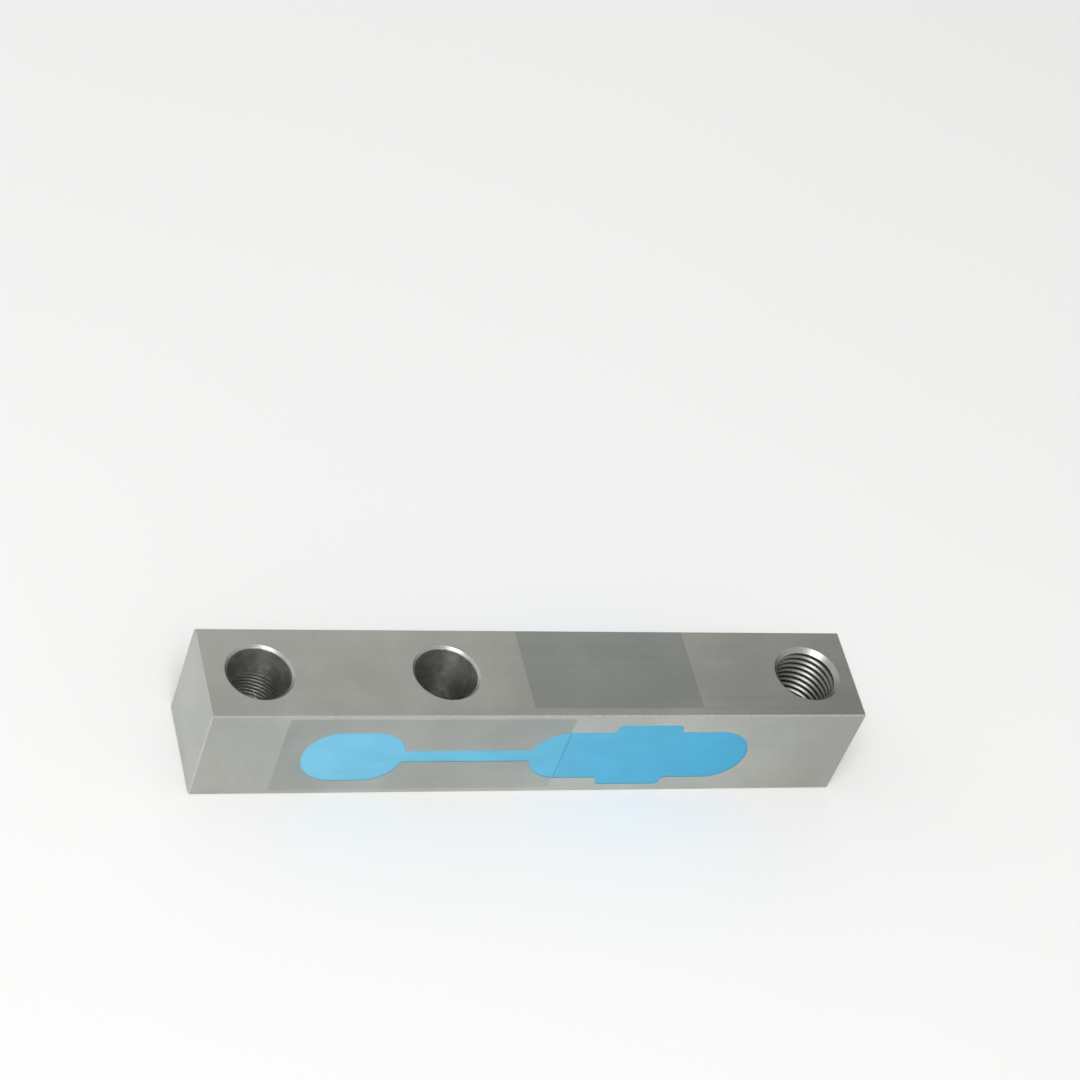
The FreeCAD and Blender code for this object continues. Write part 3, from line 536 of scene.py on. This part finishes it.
def steel_material(settings):
    """Ground bare steel, with wiped patches, edges lightened by wear and painted highlight, painted shade
    in its holes, and painted shade and light drifting along and across it.
    """
    material, graph, shader, place = new_material("ground_steel", metallic=1.0)
    marks = graph.use("grinding_marks", Vector=place, Length=14.0, Width=0.16)
    tint = ground_tint(graph, place, marks["Tone"], settings)
    tint = wiped_tint(graph, place, tint, settings)
    end = face_mask(graph, graph.parts(place)["X"], BAR_LOW.x, END_DEPTH)
    tint = graph.mix(end, tint, graph.tinted(tint, settings.end))
    # Edges lighter: partly wear, partly painted highlight
    edges = worn_and_glinting_edges(graph, place)
    tint = graph.mix(edges, tint, settings.edge)
    # Plain holes darkened: painted shade, with random scuffs on it
    bores, turned = bored_holes(graph, place)
    scuffs = graph.use("cloudy_tone", Vector=place, Size=SCUFF_SIZE)
    bore_shade_and_scuffs = graph.about(scuffs["Tone"], settings.bore, settings.bore * SCUFF_SWING)
    tint = graph.toned(tint, graph.only_in(bores, bore_shade_and_scuffs))
    chamfers = chamfer_mask(graph, place)
    # Tapped hole darkened: painted shade, deepest at the thread's roots
    inside, thread_shade = tapped_hole(graph, place, settings)
    thread = graph.math("SUBTRACT", inside, chamfers, clamp=True)
    tint = graph.toned(tint, graph.only_in(thread, thread_shade))

    base = settings.roughness
    rough = graph.uneven(marks["Tone"], reach=0.2, low=base - 0.04, high=base + 0.05)
    masks = {"edges": edges, "chamfers": chamfers, "thread": thread, "bores": bores}
    for name, mask in masks.items():
        rough = graph.math("MULTIPLY_ADD", mask, STEEL_ROUGHER[name], rough)
    ground = graph.bump(marks["Height"], strength=0.25, depth=0.004)
    graph.dress(shader, tint, rough, graph.bump(turned, strength=1.0, depth=0.12, normal=ground))
    return material


def face_mask(graph, along, face, depth):
    """1 on a flat face of the bar, and 0 from a depth below it."""
    below = graph.math("ABSOLUTE", graph.math("SUBTRACT", along, face))
    return graph.spread(below, FACE_SKIN, depth, 1.0, 0.0)


def ground_tint(graph, place, streaky, settings):
    """Colour of the ground faces: cloudy, streaked and grainy, with painted shade towards the load end and
    the front's mounting end, and painted light towards the top's back.
    """
    tint, _ = clouded(graph, place, settings.steel, size=17.0, low=0.93, high=1.06)
    grains = graph.use("fine_grain", Vector=place, Scale=1.3)
    at = graph.parts(place)
    front = face_mask(graph, at["Y"], BAR_LOW.y, SIDE_DEPTH)
    # Painted shade: the front darker towards the mounting end
    front_shade = graph.spread(at["X"], *FRONT_SHADE, settings.front_end, 1.0, smooth=True)
    top = face_mask(graph, at["Z"], BAR_HIGH.z, SIDE_DEPTH)
    # Painted light and shade: the top lighter towards its back and darker at its front
    top_shade = graph.spread(at["Y"], BAR_LOW.y, BAR_HIGH.y, settings.top_front, settings.top_back)
    tone = graph.product(
        # Painted shade: darker towards the load end
        graph.spread(at["X"], *LOAD_END_SHADE, 1.0, settings.load_end, smooth=True),
        graph.uneven(streaky, reach=0.15, low=0.985, high=1.015),
        graph.uneven(grains["Height"], reach=0.2, low=0.975, high=1.025),
        graph.only_in(front, front_shade),
        graph.only_in(top, top_shade),
    )
    return graph.toned(tint, tone)


def wiped_tint(graph, place, tint, settings):
    """The steel's colour with the wiped patches; the one on the top has a fine dark border."""
    front = graph.use("boxed_patch", Vector=place, **FRONT_PATCH)["Mask"]
    top = graph.use("boxed_patch", Vector=place, **TOP_PATCH)["Mask"]
    fading = graph.follow(graph.parts(place)["Z"], FRONT_PATCH_FADE)
    wiped = graph.math("MAXIMUM", graph.product(front, fading), top)
    tint = graph.mix(wiped, tint, graph.tinted(tint, settings.wiped))
    border = graph.product(top, graph.math("SUBTRACT", 1.0, top))
    return graph.toned(tint, graph.spread(border, 0.0, BORDER_PEAK, 1.0, TOP_PATCH_BORDER))


def hole(name):
    """A hole of the record, in mm: its middle, its radius and the length of its wall."""
    mount = MOUNTS[name]
    middle = tuple(at * PER_METRE for at in mount["pos_m"])
    return middle, mount["dims"]["r_mm"], mount["dims"]["length_mm"]


def bored_holes(graph, place):
    """Where the plain holes' walls are, and the height of their turning marks."""
    walls, heights = 0.0, 0.0
    up = graph.parts(place)["Z"]
    for name, cuts in TURNED_HOLES.items():
        axis, radius, _ = hole(name)
        wall = radius + WALL_SKIN
        for pitch, depth, reach in cuts:
            marks = graph.use("turned_rings", Vector=place, Axis=axis, Radius=wall, Pitch=pitch)
            cut = graph.product(marks["Height"], marks["Mask"])
            fading = graph.spread(up, reach - TURNED_FADE, reach + TURNED_FADE, depth, 0.0)
            heights = graph.math("MULTIPLY_ADD", cut, fading, heights)
        walls = graph.math("ADD", marks["Mask"], walls)
    return walls, heights


def chamfer_mask(graph, place):
    """The holes' chamfers: cones that start where the record says that a hole's wall ends."""
    cones = 0.0
    for name in CHAMFERED_HOLES:
        axis, radius, wall = hole(name)
        away, out = graph.around(place, axis)
        up = graph.math("SUBTRACT", graph.math("ABSOLUTE", graph.parts(away)["Z"]), wall / 2)
        off_cone = graph.math("SUBTRACT", up, graph.math("SUBTRACT", out, radius))
        rim = radius + (BAR_HIGH.z - BAR_LOW.z - wall) / 2
        cone = graph.product(
            graph.spread(off_cone, *CONE_BAND),
            graph.spread(up, 0.0, CONE_BORDER),
            graph.spread(out, rim, rim + CONE_BORDER, 1.0, 0.0),
        )
        cones = graph.math("ADD", cone, cones)
    return cones


def tapped_hole(graph, place, settings):
    """Where the load hole is, and the painted shade of its thread from crest to root."""
    axis, _, _ = hole("load_thread")
    _, out = graph.around(place, axis)
    crest, root = settings.thread_minor / 2 * PER_METRE, settings.thread_major / 2 * PER_METRE
    inside = graph.spread(out, root, root + WALL_SKIN, 1.0, 0.0)
    flank = crest + (root - crest) * THREAD_SHADE_START
    return inside, graph.spread(out, flank, root, settings.thread_tone, settings.groove_tone)


def worn_and_glinting_edges(graph, place):
    """The bar's outer edges, unevenly lightened by wear and by painted highlight: where two of its sides
    are near at once.
    """
    middle, half = (BAR_LOW + BAR_HIGH) / 2, (BAR_HIGH - BAR_LOW) / 2
    away = graph.vector("ABSOLUTE", graph.vector("SUBTRACT", place, tuple(middle)))
    past = graph.parts(graph.vector("SUBTRACT", away, tuple(half)))
    near = 0.0
    for side, weight in zip(past, EDGE_WEIGHTS):
        near = graph.math("ADD", graph.spread(side, *EDGE_BAND, 0.0, weight), near)
    edges = graph.math("SUBTRACT", near, 1.0, clamp=True)
    edge_spots = graph.use("fine_grain", Vector=place, Scale=0.9, Detail=3.0, Roughness=0.6)
    return graph.product(edges, graph.uneven(edge_spots["Height"], reach=0.12, low=LEAST_EDGE_BRIGHTENING))


def sealant_material(settings):
    """Matt blue potting compound, poured in two batches that meet in a seam."""
    material, graph, shader, place = new_material("blue_sealant", specular=0.35)
    stretched = graph.vector("MULTIPLY", place, POUR_STRETCH)
    clouds = graph.use("cloudy_tone", Vector=stretched, Size=6.0)["Tone"]
    along = graph.parts(place)["X"]
    seam = settings.seam_x * PER_METRE
    tint = graph.mix(graph.spread(along, *POUR_DRIFT), settings.pale, settings.deep)
    second = graph.spread(along, seam - SEAM_SOFTNESS, seam + SEAM_SOFTNESS)
    tint = graph.mix(second, tint, graph.tinted(tint, settings.second))
    from_seam = graph.math("ABSOLUTE", graph.math("SUBTRACT", along, seam))
    tone = graph.product(graph.about(clouds, middle=1.0, swing=0.05), graph.follow(from_seam, SEAM_LINE))
    rough = graph.about(clouds, settings.roughness, swing=0.06)
    grains = graph.use("fine_grain", Vector=place, Scale=2.2, Detail=3.0, Roughness=0.55)
    normal = graph.bump(grains["Height"], strength=0.2, depth=0.03)
    graph.dress(shader, graph.toned(tint, tone), rough, normal)
    return material


def layered_material(name, base, raised, level):
    """A film or board, and the metal on it that stands beyond a level from the bar's mid-plane."""
    material, graph, shader, place = new_material(name)
    tint, _ = clouded(graph, place, base, size=2.5, low=0.9, high=1.1)
    out = graph.math("ABSOLUTE", graph.parts(place)["Y"])
    metal = graph.spread(out, level - FOIL_BORDER, level + FOIL_BORDER)
    marks = graph.use("grinding_marks", Vector=place, Length=2.0, Width=0.1)
    bright = graph.mix(marks["Tone"], *paint(raised, low=0.88, high=1.1))
    rough = graph.about(marks["Tone"], middle=0.42, swing=0.08)
    normal = graph.bump(marks["Height"], strength=0.15, depth=0.004)
    graph.dress(shader, graph.mix(metal, tint, bright), rough, normal)
    graph.feed(shader.inputs["Metallic"], metal)
    return material


def insulation_material(name, tint):
    """Extruded insulation, a little uneven along its length."""
    material, graph, shader, place = new_material(name)
    tint, clouds = clouded(graph, place, tint, size=3.0, low=0.9, high=1.12)
    marks = graph.use("grinding_marks", Vector=place, Length=3.0, Width=0.12)
    normal = graph.bump(marks["Height"], strength=0.15, depth=0.004)
    graph.dress(shader, tint, graph.about(clouds, middle=0.38, swing=0.06), normal)
    return material


def ribbon_material(settings):
    """Flat ribbon insulation: a shallow groove between its cores, and one marked edge."""
    material, graph, shader, place = new_material("ribbon_insulation")
    low, high = (corner * PER_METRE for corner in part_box("rear_jumper"))
    core = graph.spread(graph.parts(place)["Z"], low.z, high.z, 0.0, RIBBON_CORES)
    swell = graph.math("SINE", graph.product(graph.math("FRACT", core), math.pi))
    tint, clouds = clouded(graph, place, settings.ribbon, size=3.0, low=0.92, high=1.1)
    marked = graph.spread(core, RIBBON_CORES - 1, RIBBON_CORES - 1 + MARK_BORDER)
    tint = graph.mix(marked, tint, settings.red)
    normal = graph.bump(swell, strength=0.6, depth=0.05)
    graph.dress(shader, tint, graph.about(clouds, middle=0.42, swing=0.06), normal)
    return material


def chip_material(settings):
    """A chip resistor: dark body with soldered ends."""
    material, graph, shader, place = new_material("chip_resistor")
    across = graph.parts(graph.add("ShaderNodeTexCoord").outputs["Generated"])["X"]
    from_middle = graph.math("ABSOLUTE", graph.math("SUBTRACT", across, 0.5))
    ends = graph.spread(from_middle, *CHIP_END)
    body, clouds = clouded(graph, place, settings.chip, size=0.8, low=0.85, high=1.2)
    solder = graph.mix(clouds, *paint(settings.solder, low=0.85, high=1.1))
    grains = graph.use("fine_grain", Vector=place, Scale=9.0)
    normal = graph.bump(grains["Height"], strength=0.2, depth=0.01)
    rough = graph.about(clouds, middle=0.35, swing=0.08)
    graph.dress(shader, graph.mix(ends, body, solder), rough, normal)
    graph.feed(shader.inputs["Metallic"], ends)
    return material


def nickel_material(settings):
    """Plated turned metal of the gland, with turning marks round the screw's axis."""
    material, graph, shader, place = new_material("plated_gland", metallic=1.0)
    low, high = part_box("gland_screw")
    away = graph.vector("SUBTRACT", place, tuple((low + high) / 2 * PER_METRE))
    out = graph.vector("LENGTH", graph.vector("MULTIPLY", away, (1, 0, 1)))
    pitch = settings.ring_pitch * PER_METRE
    marks = graph.use("turned_rings", Vector=graph.joined(0.0, 0.0, out), Pitch=pitch)
    tint, clouds = clouded(graph, place, settings.nickel, size=3.0, low=0.9, high=1.08)
    normal = graph.bump(marks["Height"], strength=0.2, depth=0.004)
    graph.dress(shader, tint, graph.about(clouds, middle=0.27, swing=0.05), normal)
    return material


def rubber_material(settings):
    """Matt black rubber."""
    material, graph, shader, place = new_material("seal_rubber", specular=0.3)
    tint, clouds = clouded(graph, place, settings.rubber, size=1.5, low=0.8, high=1.4)
    grains = graph.use("fine_grain", Vector=place, Scale=6.0, Detail=3.0, Roughness=0.6)
    normal = graph.bump(grains["Height"], strength=0.25, depth=0.02)
    graph.dress(shader, tint, graph.about(clouds, middle=0.7, swing=0.08), normal)
    return material


# Meshes


def new_piece(name, mesh):
    """A piece that rides with the bar."""
    piece = bpy.data.objects.new(name, mesh)
    bpy.context.scene.collection.objects.link(piece)
    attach(piece, "root")
    return piece


def welded_shape(mesh):
    """A mesh's shape with its split corners joined."""
    shape = bmesh.new()
    shape.from_mesh(mesh)
    bmesh.ops.remove_doubles(shape, verts=shape.verts, dist=WELD)
    return shape


def closed_mesh(shape, name):
    """A mesh made of a closed shape, with its faces turned outwards."""
    bmesh.ops.recalc_face_normals(shape, faces=shape.faces)
    mesh = bpy.data.meshes.new(name)
    shape.to_mesh(mesh)
    shape.free()
    return mesh


def plain_copy(node, name):
    """A copy of a node's mesh with its split corners joined and no stored normals."""
    shape = welded_shape(NODES[node].data)
    shape.verts.index_update()
    points = [vert.co.copy() for vert in shape.verts]
    faces = [[vert.index for vert in face.verts] for face in shape.faces]
    shape.free()
    mesh = bpy.data.meshes.new(name)
    mesh.from_pydata(points, [], faces)
    return mesh


def smooth_shaded(mesh):
    mesh.shade_smooth()
    mesh.set_sharp_from_angle(angle=SMOOTH_ANGLE)


def thread_cutter(settings):
    """The solid that a tap takes out: one groove wound along the load hole, ending at the front."""
    crest, root = settings.thread_minor / 2, settings.thread_major / 2
    depth, pitch, steps = root - crest, settings.thread_pitch, settings.thread_steps
    low, high = CAD_BOX[0].z + settings.thread_start, CAD_BOX[1].z - settings.thread_start
    axis = Vector(MOUNTS["load_thread"]["pos_m"])
    section = [(crest + depth * way, -half * pitch) for way, half in GROOVE]
    section += [(radius, -rise) for radius, rise in reversed(section)]
    shape = bmesh.new()
    rows = []
    last = int((high - low) / pitch * steps)
    for step in range(last + 1):
        angle = 2 * math.pi * (step - last) / steps - math.pi / 2
        from_end = min(step, last - step) / steps
        run_out = RUN_OUT_DEPTH * depth * max(0.0, 1.0 - from_end / RUN_OUT_TURN)
        out = Vector((math.cos(angle), math.sin(angle), 0.0))
        foot = Vector((axis.x, axis.y, low + pitch * step / steps)) - out * run_out
        points = [foot + out * radius + Vector((0, 0, rise)) for radius, rise in section]
        rows.append([shape.verts.new(point) for point in points])
    count = len(section)
    for row, after in zip(rows, rows[1:]):
        for i in range(count):
            j = (i + 1) % count
            shape.faces.new((row[i], after[i], after[j], row[j]))
    shape.faces.new(rows[0])
    shape.faces.new(list(reversed(rows[-1])))
    return closed_mesh(shape, "thread_cutter")


def cut_away(piece, cutter_mesh):
    """Take a solid out of a piece for good, and join the corners that the cut leaves on each other."""
    cutter = bpy.data.objects.new("cutter", cutter_mesh)
    bpy.context.scene.collection.objects.link(cutter)
    cut = piece.modifiers.new("cut", "BOOLEAN")
    cut.operation = "DIFFERENCE"
    cut.solver = "EXACT"
    cut.object = cutter
    cut_piece = piece.evaluated_get(bpy.context.evaluated_depsgraph_get())
    made = bpy.data.meshes.new_from_object(cut_piece)
    shape = welded_shape(made)
    shape.to_mesh(made)
    shape.free()
    piece.modifiers.remove(cut)
    old = piece.data
    piece.data = made
    bpy.data.meshes.remove(old)
    bpy.data.objects.remove(cutter)
    bpy.data.meshes.remove(cutter_mesh)


def open_face_outline(node, side):
    """The rim of a node's outermost face on one side, as points (x, z) in mm, and the face's level."""
    shape = welded_shape(NODES[node].data)
    level = max(side * vert.co.y for vert in shape.verts)
    face = {f for f in shape.faces if all(abs(side * v.co.y - level) < WELD for v in f.verts)}
    after = {}
    for edge in shape.edges:
        mine = [f for f in edge.link_faces if f in face]
        if len(mine) == 1:
            corners = list(mine[0].verts)
            start, end = edge.verts
            if corners[(corners.index(start) + 1) % len(corners)] != end:
                start, end = end, start
            after[start] = end
    first = next(iter(after))
    rim, at = [first], after[first]
    while at != first:
        rim.append(at)
        at = after[at]
    points = np.array([(v.co.x, v.co.z) for v in rim]) * PER_METRE
    shape.free()
    return points, level


def even_rim(points):
    """The rim with its long sides divided."""
    out = []
    for start, end in zip(points, np.roll(points, -1, axis=0)):
        count = max(1, int(np.ceil(np.linalg.norm(end - start) / RIM_STEP)))
        out += [start + (end - start) * i / count for i in range(count)]
    return np.array(out)


def from_rim(points, rim):
    """Distance of each point from the rim, and whether it lies inside."""
    distance = np.full(len(points), np.inf)
    inside = np.zeros(len(points), bool)
    for start, end in zip(rim, np.roll(rim, -1, axis=0)):
        side, away = end - start, points - start
        along = np.clip((away @ side) / (side @ side), 0, 1)
        distance = np.minimum(distance, np.linalg.norm(away - along[:, None] * side, axis=1))
        if side[1]:
            crosses = (start[1] > points[:, 1]) != (end[1] > points[:, 1])
            inside ^= crosses & (away[:, 0] < away[:, 1] * side[0] / side[1])
    return distance, inside


def inward_ways(rim, corners):
    """At each point of a rim, the direction that leads into the pocket."""
    along = np.roll(rim, -1, axis=0) - np.roll(rim, 1, axis=0)
    inward = np.stack([-along[:, 1], along[:, 0]], axis=1)
    inward /= np.linalg.norm(inward, axis=1)[:, None]
    _, inside = from_rim(rim + inward * RIM_PROBE, corners)
    return inward * np.where(inside, 1, -1)[:, None]


def pocket_net(corners):
    """A flat net of triangles over a pocket, finer along its rim: points (x, z) in mm, and faces."""
    rim = even_rim(corners)
    columns, levels = (np.arange(*ends, FIELD_STEP) for ends in zip(rim.min(axis=0), rim.max(axis=0)))
    field = np.stack(np.meshgrid(columns, levels), axis=-1).reshape(-1, 2)
    loose = [(field, RIM_ROWS[-1] + FIELD_STEP / 2)]
    inward = inward_ways(rim, corners)
    loose += [(rim + inward * row, row * ROW_ROOM) for row in RIM_ROWS]
    points = [rim]
    for candidates, least in loose:
        distance, inside = from_rim(candidates, corners)
        points.append(candidates[inside & (distance > least)])
    points = [Vector(point) for point in np.concatenate(points)]
    edges = [(i, (i + 1) % len(rim)) for i in range(len(rim))]
    net, _, faces, *_ = geometry.delaunay_2d_cdt(points, edges, [], INSIDE_ONLY, NET_WELD)
    return np.array([tuple(point) for point in net]), faces


def cured_depths(net, corners, side, settings):
    """How far each point of a cured surface lies below the bar's face."""
    distance, _ = from_rim(net, corners)
    depths = settings.crown + settings.shrink * np.exp(-distance / WALL_REACH)
    along, up = RIPPLE_WAVES
    waves = [noise.noise(Vector((x * along, z * up, side * RIPPLE_SIDE))) for x, z in net]
    return depths + settings.ripple * np.array(waves) * np.clip(distance / RIM_ROWS[-1], 0, 1)


def poured_mesh(name, node, side, settings):
    """A potted pocket's cured surface: drawn down at the walls, a little uneven, and closed below."""
    corners, level = open_face_outline(node, side)
    net, faces = pocket_net(corners)
    depths = cured_depths(net, corners, side, settings)
    bar_face = max(abs(corner.y) for corner in CAD_BOX)
    under = side * (level - SEAT)
    shape = bmesh.new()
    top = [shape.verts.new((x * MM, side * (bar_face - d), z * MM)) for (x, z), d in zip(net, depths)]
    base = [shape.verts.new((x * MM, under, z * MM)) for x, z in net]
    for a, b, c in faces:
        shape.faces.new((top[a], top[b], top[c]))
        shape.faces.new((base[c], base[b], base[a]))
    number = {vert: i for i, vert in enumerate(top)}
    for edge in [e for e in shape.edges if e.is_boundary and e.verts[0] in number]:
        a, b = (number[vert] for vert in edge.verts)
        shape.faces.new((top[a], top[b], base[b], base[a]))
    mesh = closed_mesh(shape, name)
    smooth_shaded(mesh)
    return mesh


# Stage


def lay_floor(scene, settings):
    """A pale floor just under the bar."""
    mesh = bpy.data.meshes.new("floor")
    corners = [(x * FLOOR_HALF, y * FLOOR_HALF, -FLOOR_DROP) for x, y in FLOOR_CORNERS]
    mesh.from_pydata(corners, [], [(0, 1, 2, 3)])
    floor = bpy.data.objects.new("floor", mesh)
    scene.collection.objects.link(floor)
    material, graph, shader, place = new_material("pale_floor", roughness=1.0, specular=0.0)
    tint, _ = clouded(graph, place, settings.floor, FLOOR_CLOUD, low=0.99, high=1.01)
    graph.feed(shader.inputs["Base Color"], tint)
    give_material(floor, material)


def hang_lamp(scene, settings):
    """One large soft lamp, turned to the bar."""
    light = bpy.data.lights.new("key", "AREA")
    light.energy = settings.key
    light.size = settings.key_size
    lamp = bpy.data.objects.new("key", light)
    lamp.location = settings.key_place
    lamp.rotation_euler = (-Vector(settings.key_place)).to_track_quat("-Z", "Y").to_euler()
    scene.collection.objects.link(lamp)


def light_all_round(scene, settings):
    """Soft light from all sides, which changes from left to right behind the bar."""
    world = bpy.data.worlds.new("studio")
    scene.world = world
    world.use_nodes = True
    graph = Graph(world.node_tree)
    way = graph.parts(graph.add("ShaderNodeTexCoord").outputs["Generated"])
    behind = graph.follow(way["X"], LIGHT_BEHIND)
    strength = graph.spread(way["Y"], -LIGHT_TURN, LIGHT_TURN, LIGHT_IN_FRONT, behind)
    background = world.node_tree.nodes["Background"]
    background.inputs["Color"].default_value = (*settings.light, 1.0)
    graph.feed(background.inputs["Strength"], strength)


def set_camera(scene, settings):
    """The camera, with its right and its top as given."""
    right, up = Vector(settings.right).normalized(), Vector(settings.up)
    back = right.cross(up).normalized()
    up = back.cross(right)
    data = bpy.data.cameras.new("camera")
    data.lens = settings.lens
    data.shift_y = settings.rise
    data.clip_start, data.clip_end = CAMERA_CLIP
    camera = bpy.data.objects.new("camera", data)
    turn = Matrix((right, up, back)).transposed().to_4x4()
    camera.matrix_world = Matrix.Translation(settings.camera) @ turn
    scene.collection.objects.link(camera)
    scene.camera = camera


# Operators


class LOADCELL_OT_machine_beam(bpy.types.Operator):
    """Tap the load hole of the bar and give the bar its ground finish"""

    bl_idname = "loadcell.machine_beam"
    bl_label = "Machine beam"

    def execute(self, context):
        settings = context.scene.loadcell_beam
        piece = new_piece("machined_beam", plain_copy("beam", "machined_beam"))
        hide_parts("beam")
        cut_away(piece, thread_cutter(settings))
        smooth_shaded(piece.data)
        give_material(piece, steel_material(settings))
        return {"FINISHED"}


class LOADCELL_OT_pour_sealant(bpy.types.Operator):
    """Give the potting compound its colour and its cured surface on both sides of the bar"""

    bl_idname = "loadcell.pour_sealant"
    bl_label = "Pour sealant"

    def execute(self, context):
        settings = context.scene.loadcell_sealant
        material = sealant_material(settings)
        for node, side in (("front_sealant", -1), ("rear_sealant", 1)):
            give_material(NODES[node], material)
            name = f"{node}_surface"
            piece = new_piece(name, poured_mesh(name, node, side, settings))
            give_material(piece, material)
        return {"FINISHED"}


class LOADCELL_OT_bond_gauges(bpy.types.Operator):
    """Finish the gauges and their terminal strips on the shear web"""

    bl_idname = "loadcell.bond_gauges"
    bl_label = "Bond gauges"

    def execute(self, context):
        settings = context.scene.loadcell_wiring
        level = (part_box("rear_terminal_strip")[1].y - FOIL) * PER_METRE
        gauge = layered_material("gauge_film", settings.film, settings.foil, level)
        strip = layered_material("terminal_film", settings.film, settings.copper, level)
        for side in ("front", "rear"):
            give_material(NODES[f"{side}_shear_gauge"], gauge)
            give_material(NODES[f"{side}_terminal_strip"], strip)
        return {"FINISHED"}


class LOADCELL_OT_run_wires(bpy.types.Operator):
    """Finish the bridge wires, the ribbon lead and the sleeve that it passes through"""

    bl_idname = "loadcell.run_wires"
    bl_label = "Run wires"

    def execute(self, context):
        settings = context.scene.loadcell_wiring
        tints = {
            "excitation_plus_wire": settings.red,
            "excitation_minus_wire": settings.black,
            "signal_plus_wire": settings.green,
            "signal_minus_wire": settings.white,
            "passage_sleeve": settings.sleeve,
        }
        for node, tint in tints.items():
            give_material(NODES[node], insulation_material(f"{node}_insulation", tint))
        give_material(NODES["rear_jumper"], ribbon_material(settings))
        return {"FINISHED"}


class LOADCELL_OT_fit_board(bpy.types.Operator):
    """Finish the terminal board and its resistors"""

    bl_idname = "loadcell.fit_board"
    bl_label = "Fit board"

    def execute(self, context):
        settings = context.scene.loadcell_wiring
        level = -(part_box("terminal_board")[0].y + FOIL) * PER_METRE
        board = layered_material("terminal_board", settings.board, settings.copper, level)
        give_material(NODES["terminal_board"], board)
        chip = chip_material(settings)
        for node in RESISTORS:
            give_material(NODES[node], chip)
        return {"FINISHED"}


class LOADCELL_OT_fit_gland(bpy.types.Operator):
    """Finish the cable inlet in the back face"""

    bl_idname = "loadcell.fit_gland"
    bl_label = "Fit gland"

    def execute(self, context):
        settings = context.scene.loadcell_gland
        nickel = nickel_material(settings)
        for node in ("gland_screw", "seal_washer"):
            give_material(NODES[node], nickel)
        give_material(NODES["cable_seal"], rubber_material(settings))
        return {"FINISHED"}


class LOADCELL_OT_set_stage(bpy.types.Operator):
    """Lay the floor, set the light and place the camera"""

    bl_idname = "loadcell.set_stage"
    bl_label = "Set stage"

    def execute(self, context):
        scene = context.scene
        settings = scene.loadcell_stage
        lay_floor(scene, settings)
        hang_lamp(scene, settings)
        light_all_round(scene, settings)
        set_camera(scene, settings)
        scene.view_settings.view_transform = "Standard"
        return {"FINISHED"}


class LOADCELL_PT_panel(bpy.types.Panel):
    """The steps that dress the load cell, and their settings"""

    bl_label = "Load cell"
    bl_idname = "LOADCELL_PT_panel"
    bl_space_type = "VIEW_3D"
    bl_region_type = "UI"
    bl_category = "Load cell"

    def draw(self, context):
        for step in STEPS:
            self.layout.operator(step.bl_idname)
        for name in SETTINGS:
            group = getattr(context.scene, name)
            box = self.layout.box()
            for key in group.__annotations__:
                box.prop(group, key)


SETTINGS = {
    "loadcell_beam": BeamSettings,
    "loadcell_sealant": SealantSettings,
    "loadcell_wiring": WiringSettings,
    "loadcell_gland": GlandSettings,
    "loadcell_stage": StageSettings,
}
STEPS = (
    LOADCELL_OT_machine_beam,
    LOADCELL_OT_pour_sealant,
    LOADCELL_OT_bond_gauges,
    LOADCELL_OT_run_wires,
    LOADCELL_OT_fit_board,
    LOADCELL_OT_fit_gland,
    LOADCELL_OT_set_stage,
)


def register():
    for settings in SETTINGS.values():
        bpy.utils.register_class(settings)
    for name, settings in SETTINGS.items():
        setattr(bpy.types.Scene, name, PointerProperty(type=settings))
    for step in STEPS:
        bpy.utils.register_class(step)
    bpy.utils.register_class(LOADCELL_PT_panel)


def unregister():
    bpy.utils.unregister_class(LOADCELL_PT_panel)
    for step in reversed(STEPS):
        bpy.utils.unregister_class(step)
    for name, settings in SETTINGS.items():
        delattr(bpy.types.Scene, name)
        bpy.utils.unregister_class(settings)


def main():
    register()
    bpy.ops.loadcell.machine_beam()
    bpy.ops.loadcell.pour_sealant()
    bpy.ops.loadcell.bond_gauges()
    bpy.ops.loadcell.run_wires()
    bpy.ops.loadcell.fit_board()
    bpy.ops.loadcell.fit_gland()
    bpy.ops.loadcell.set_stage()


if __name__ == "__main__":
    main()
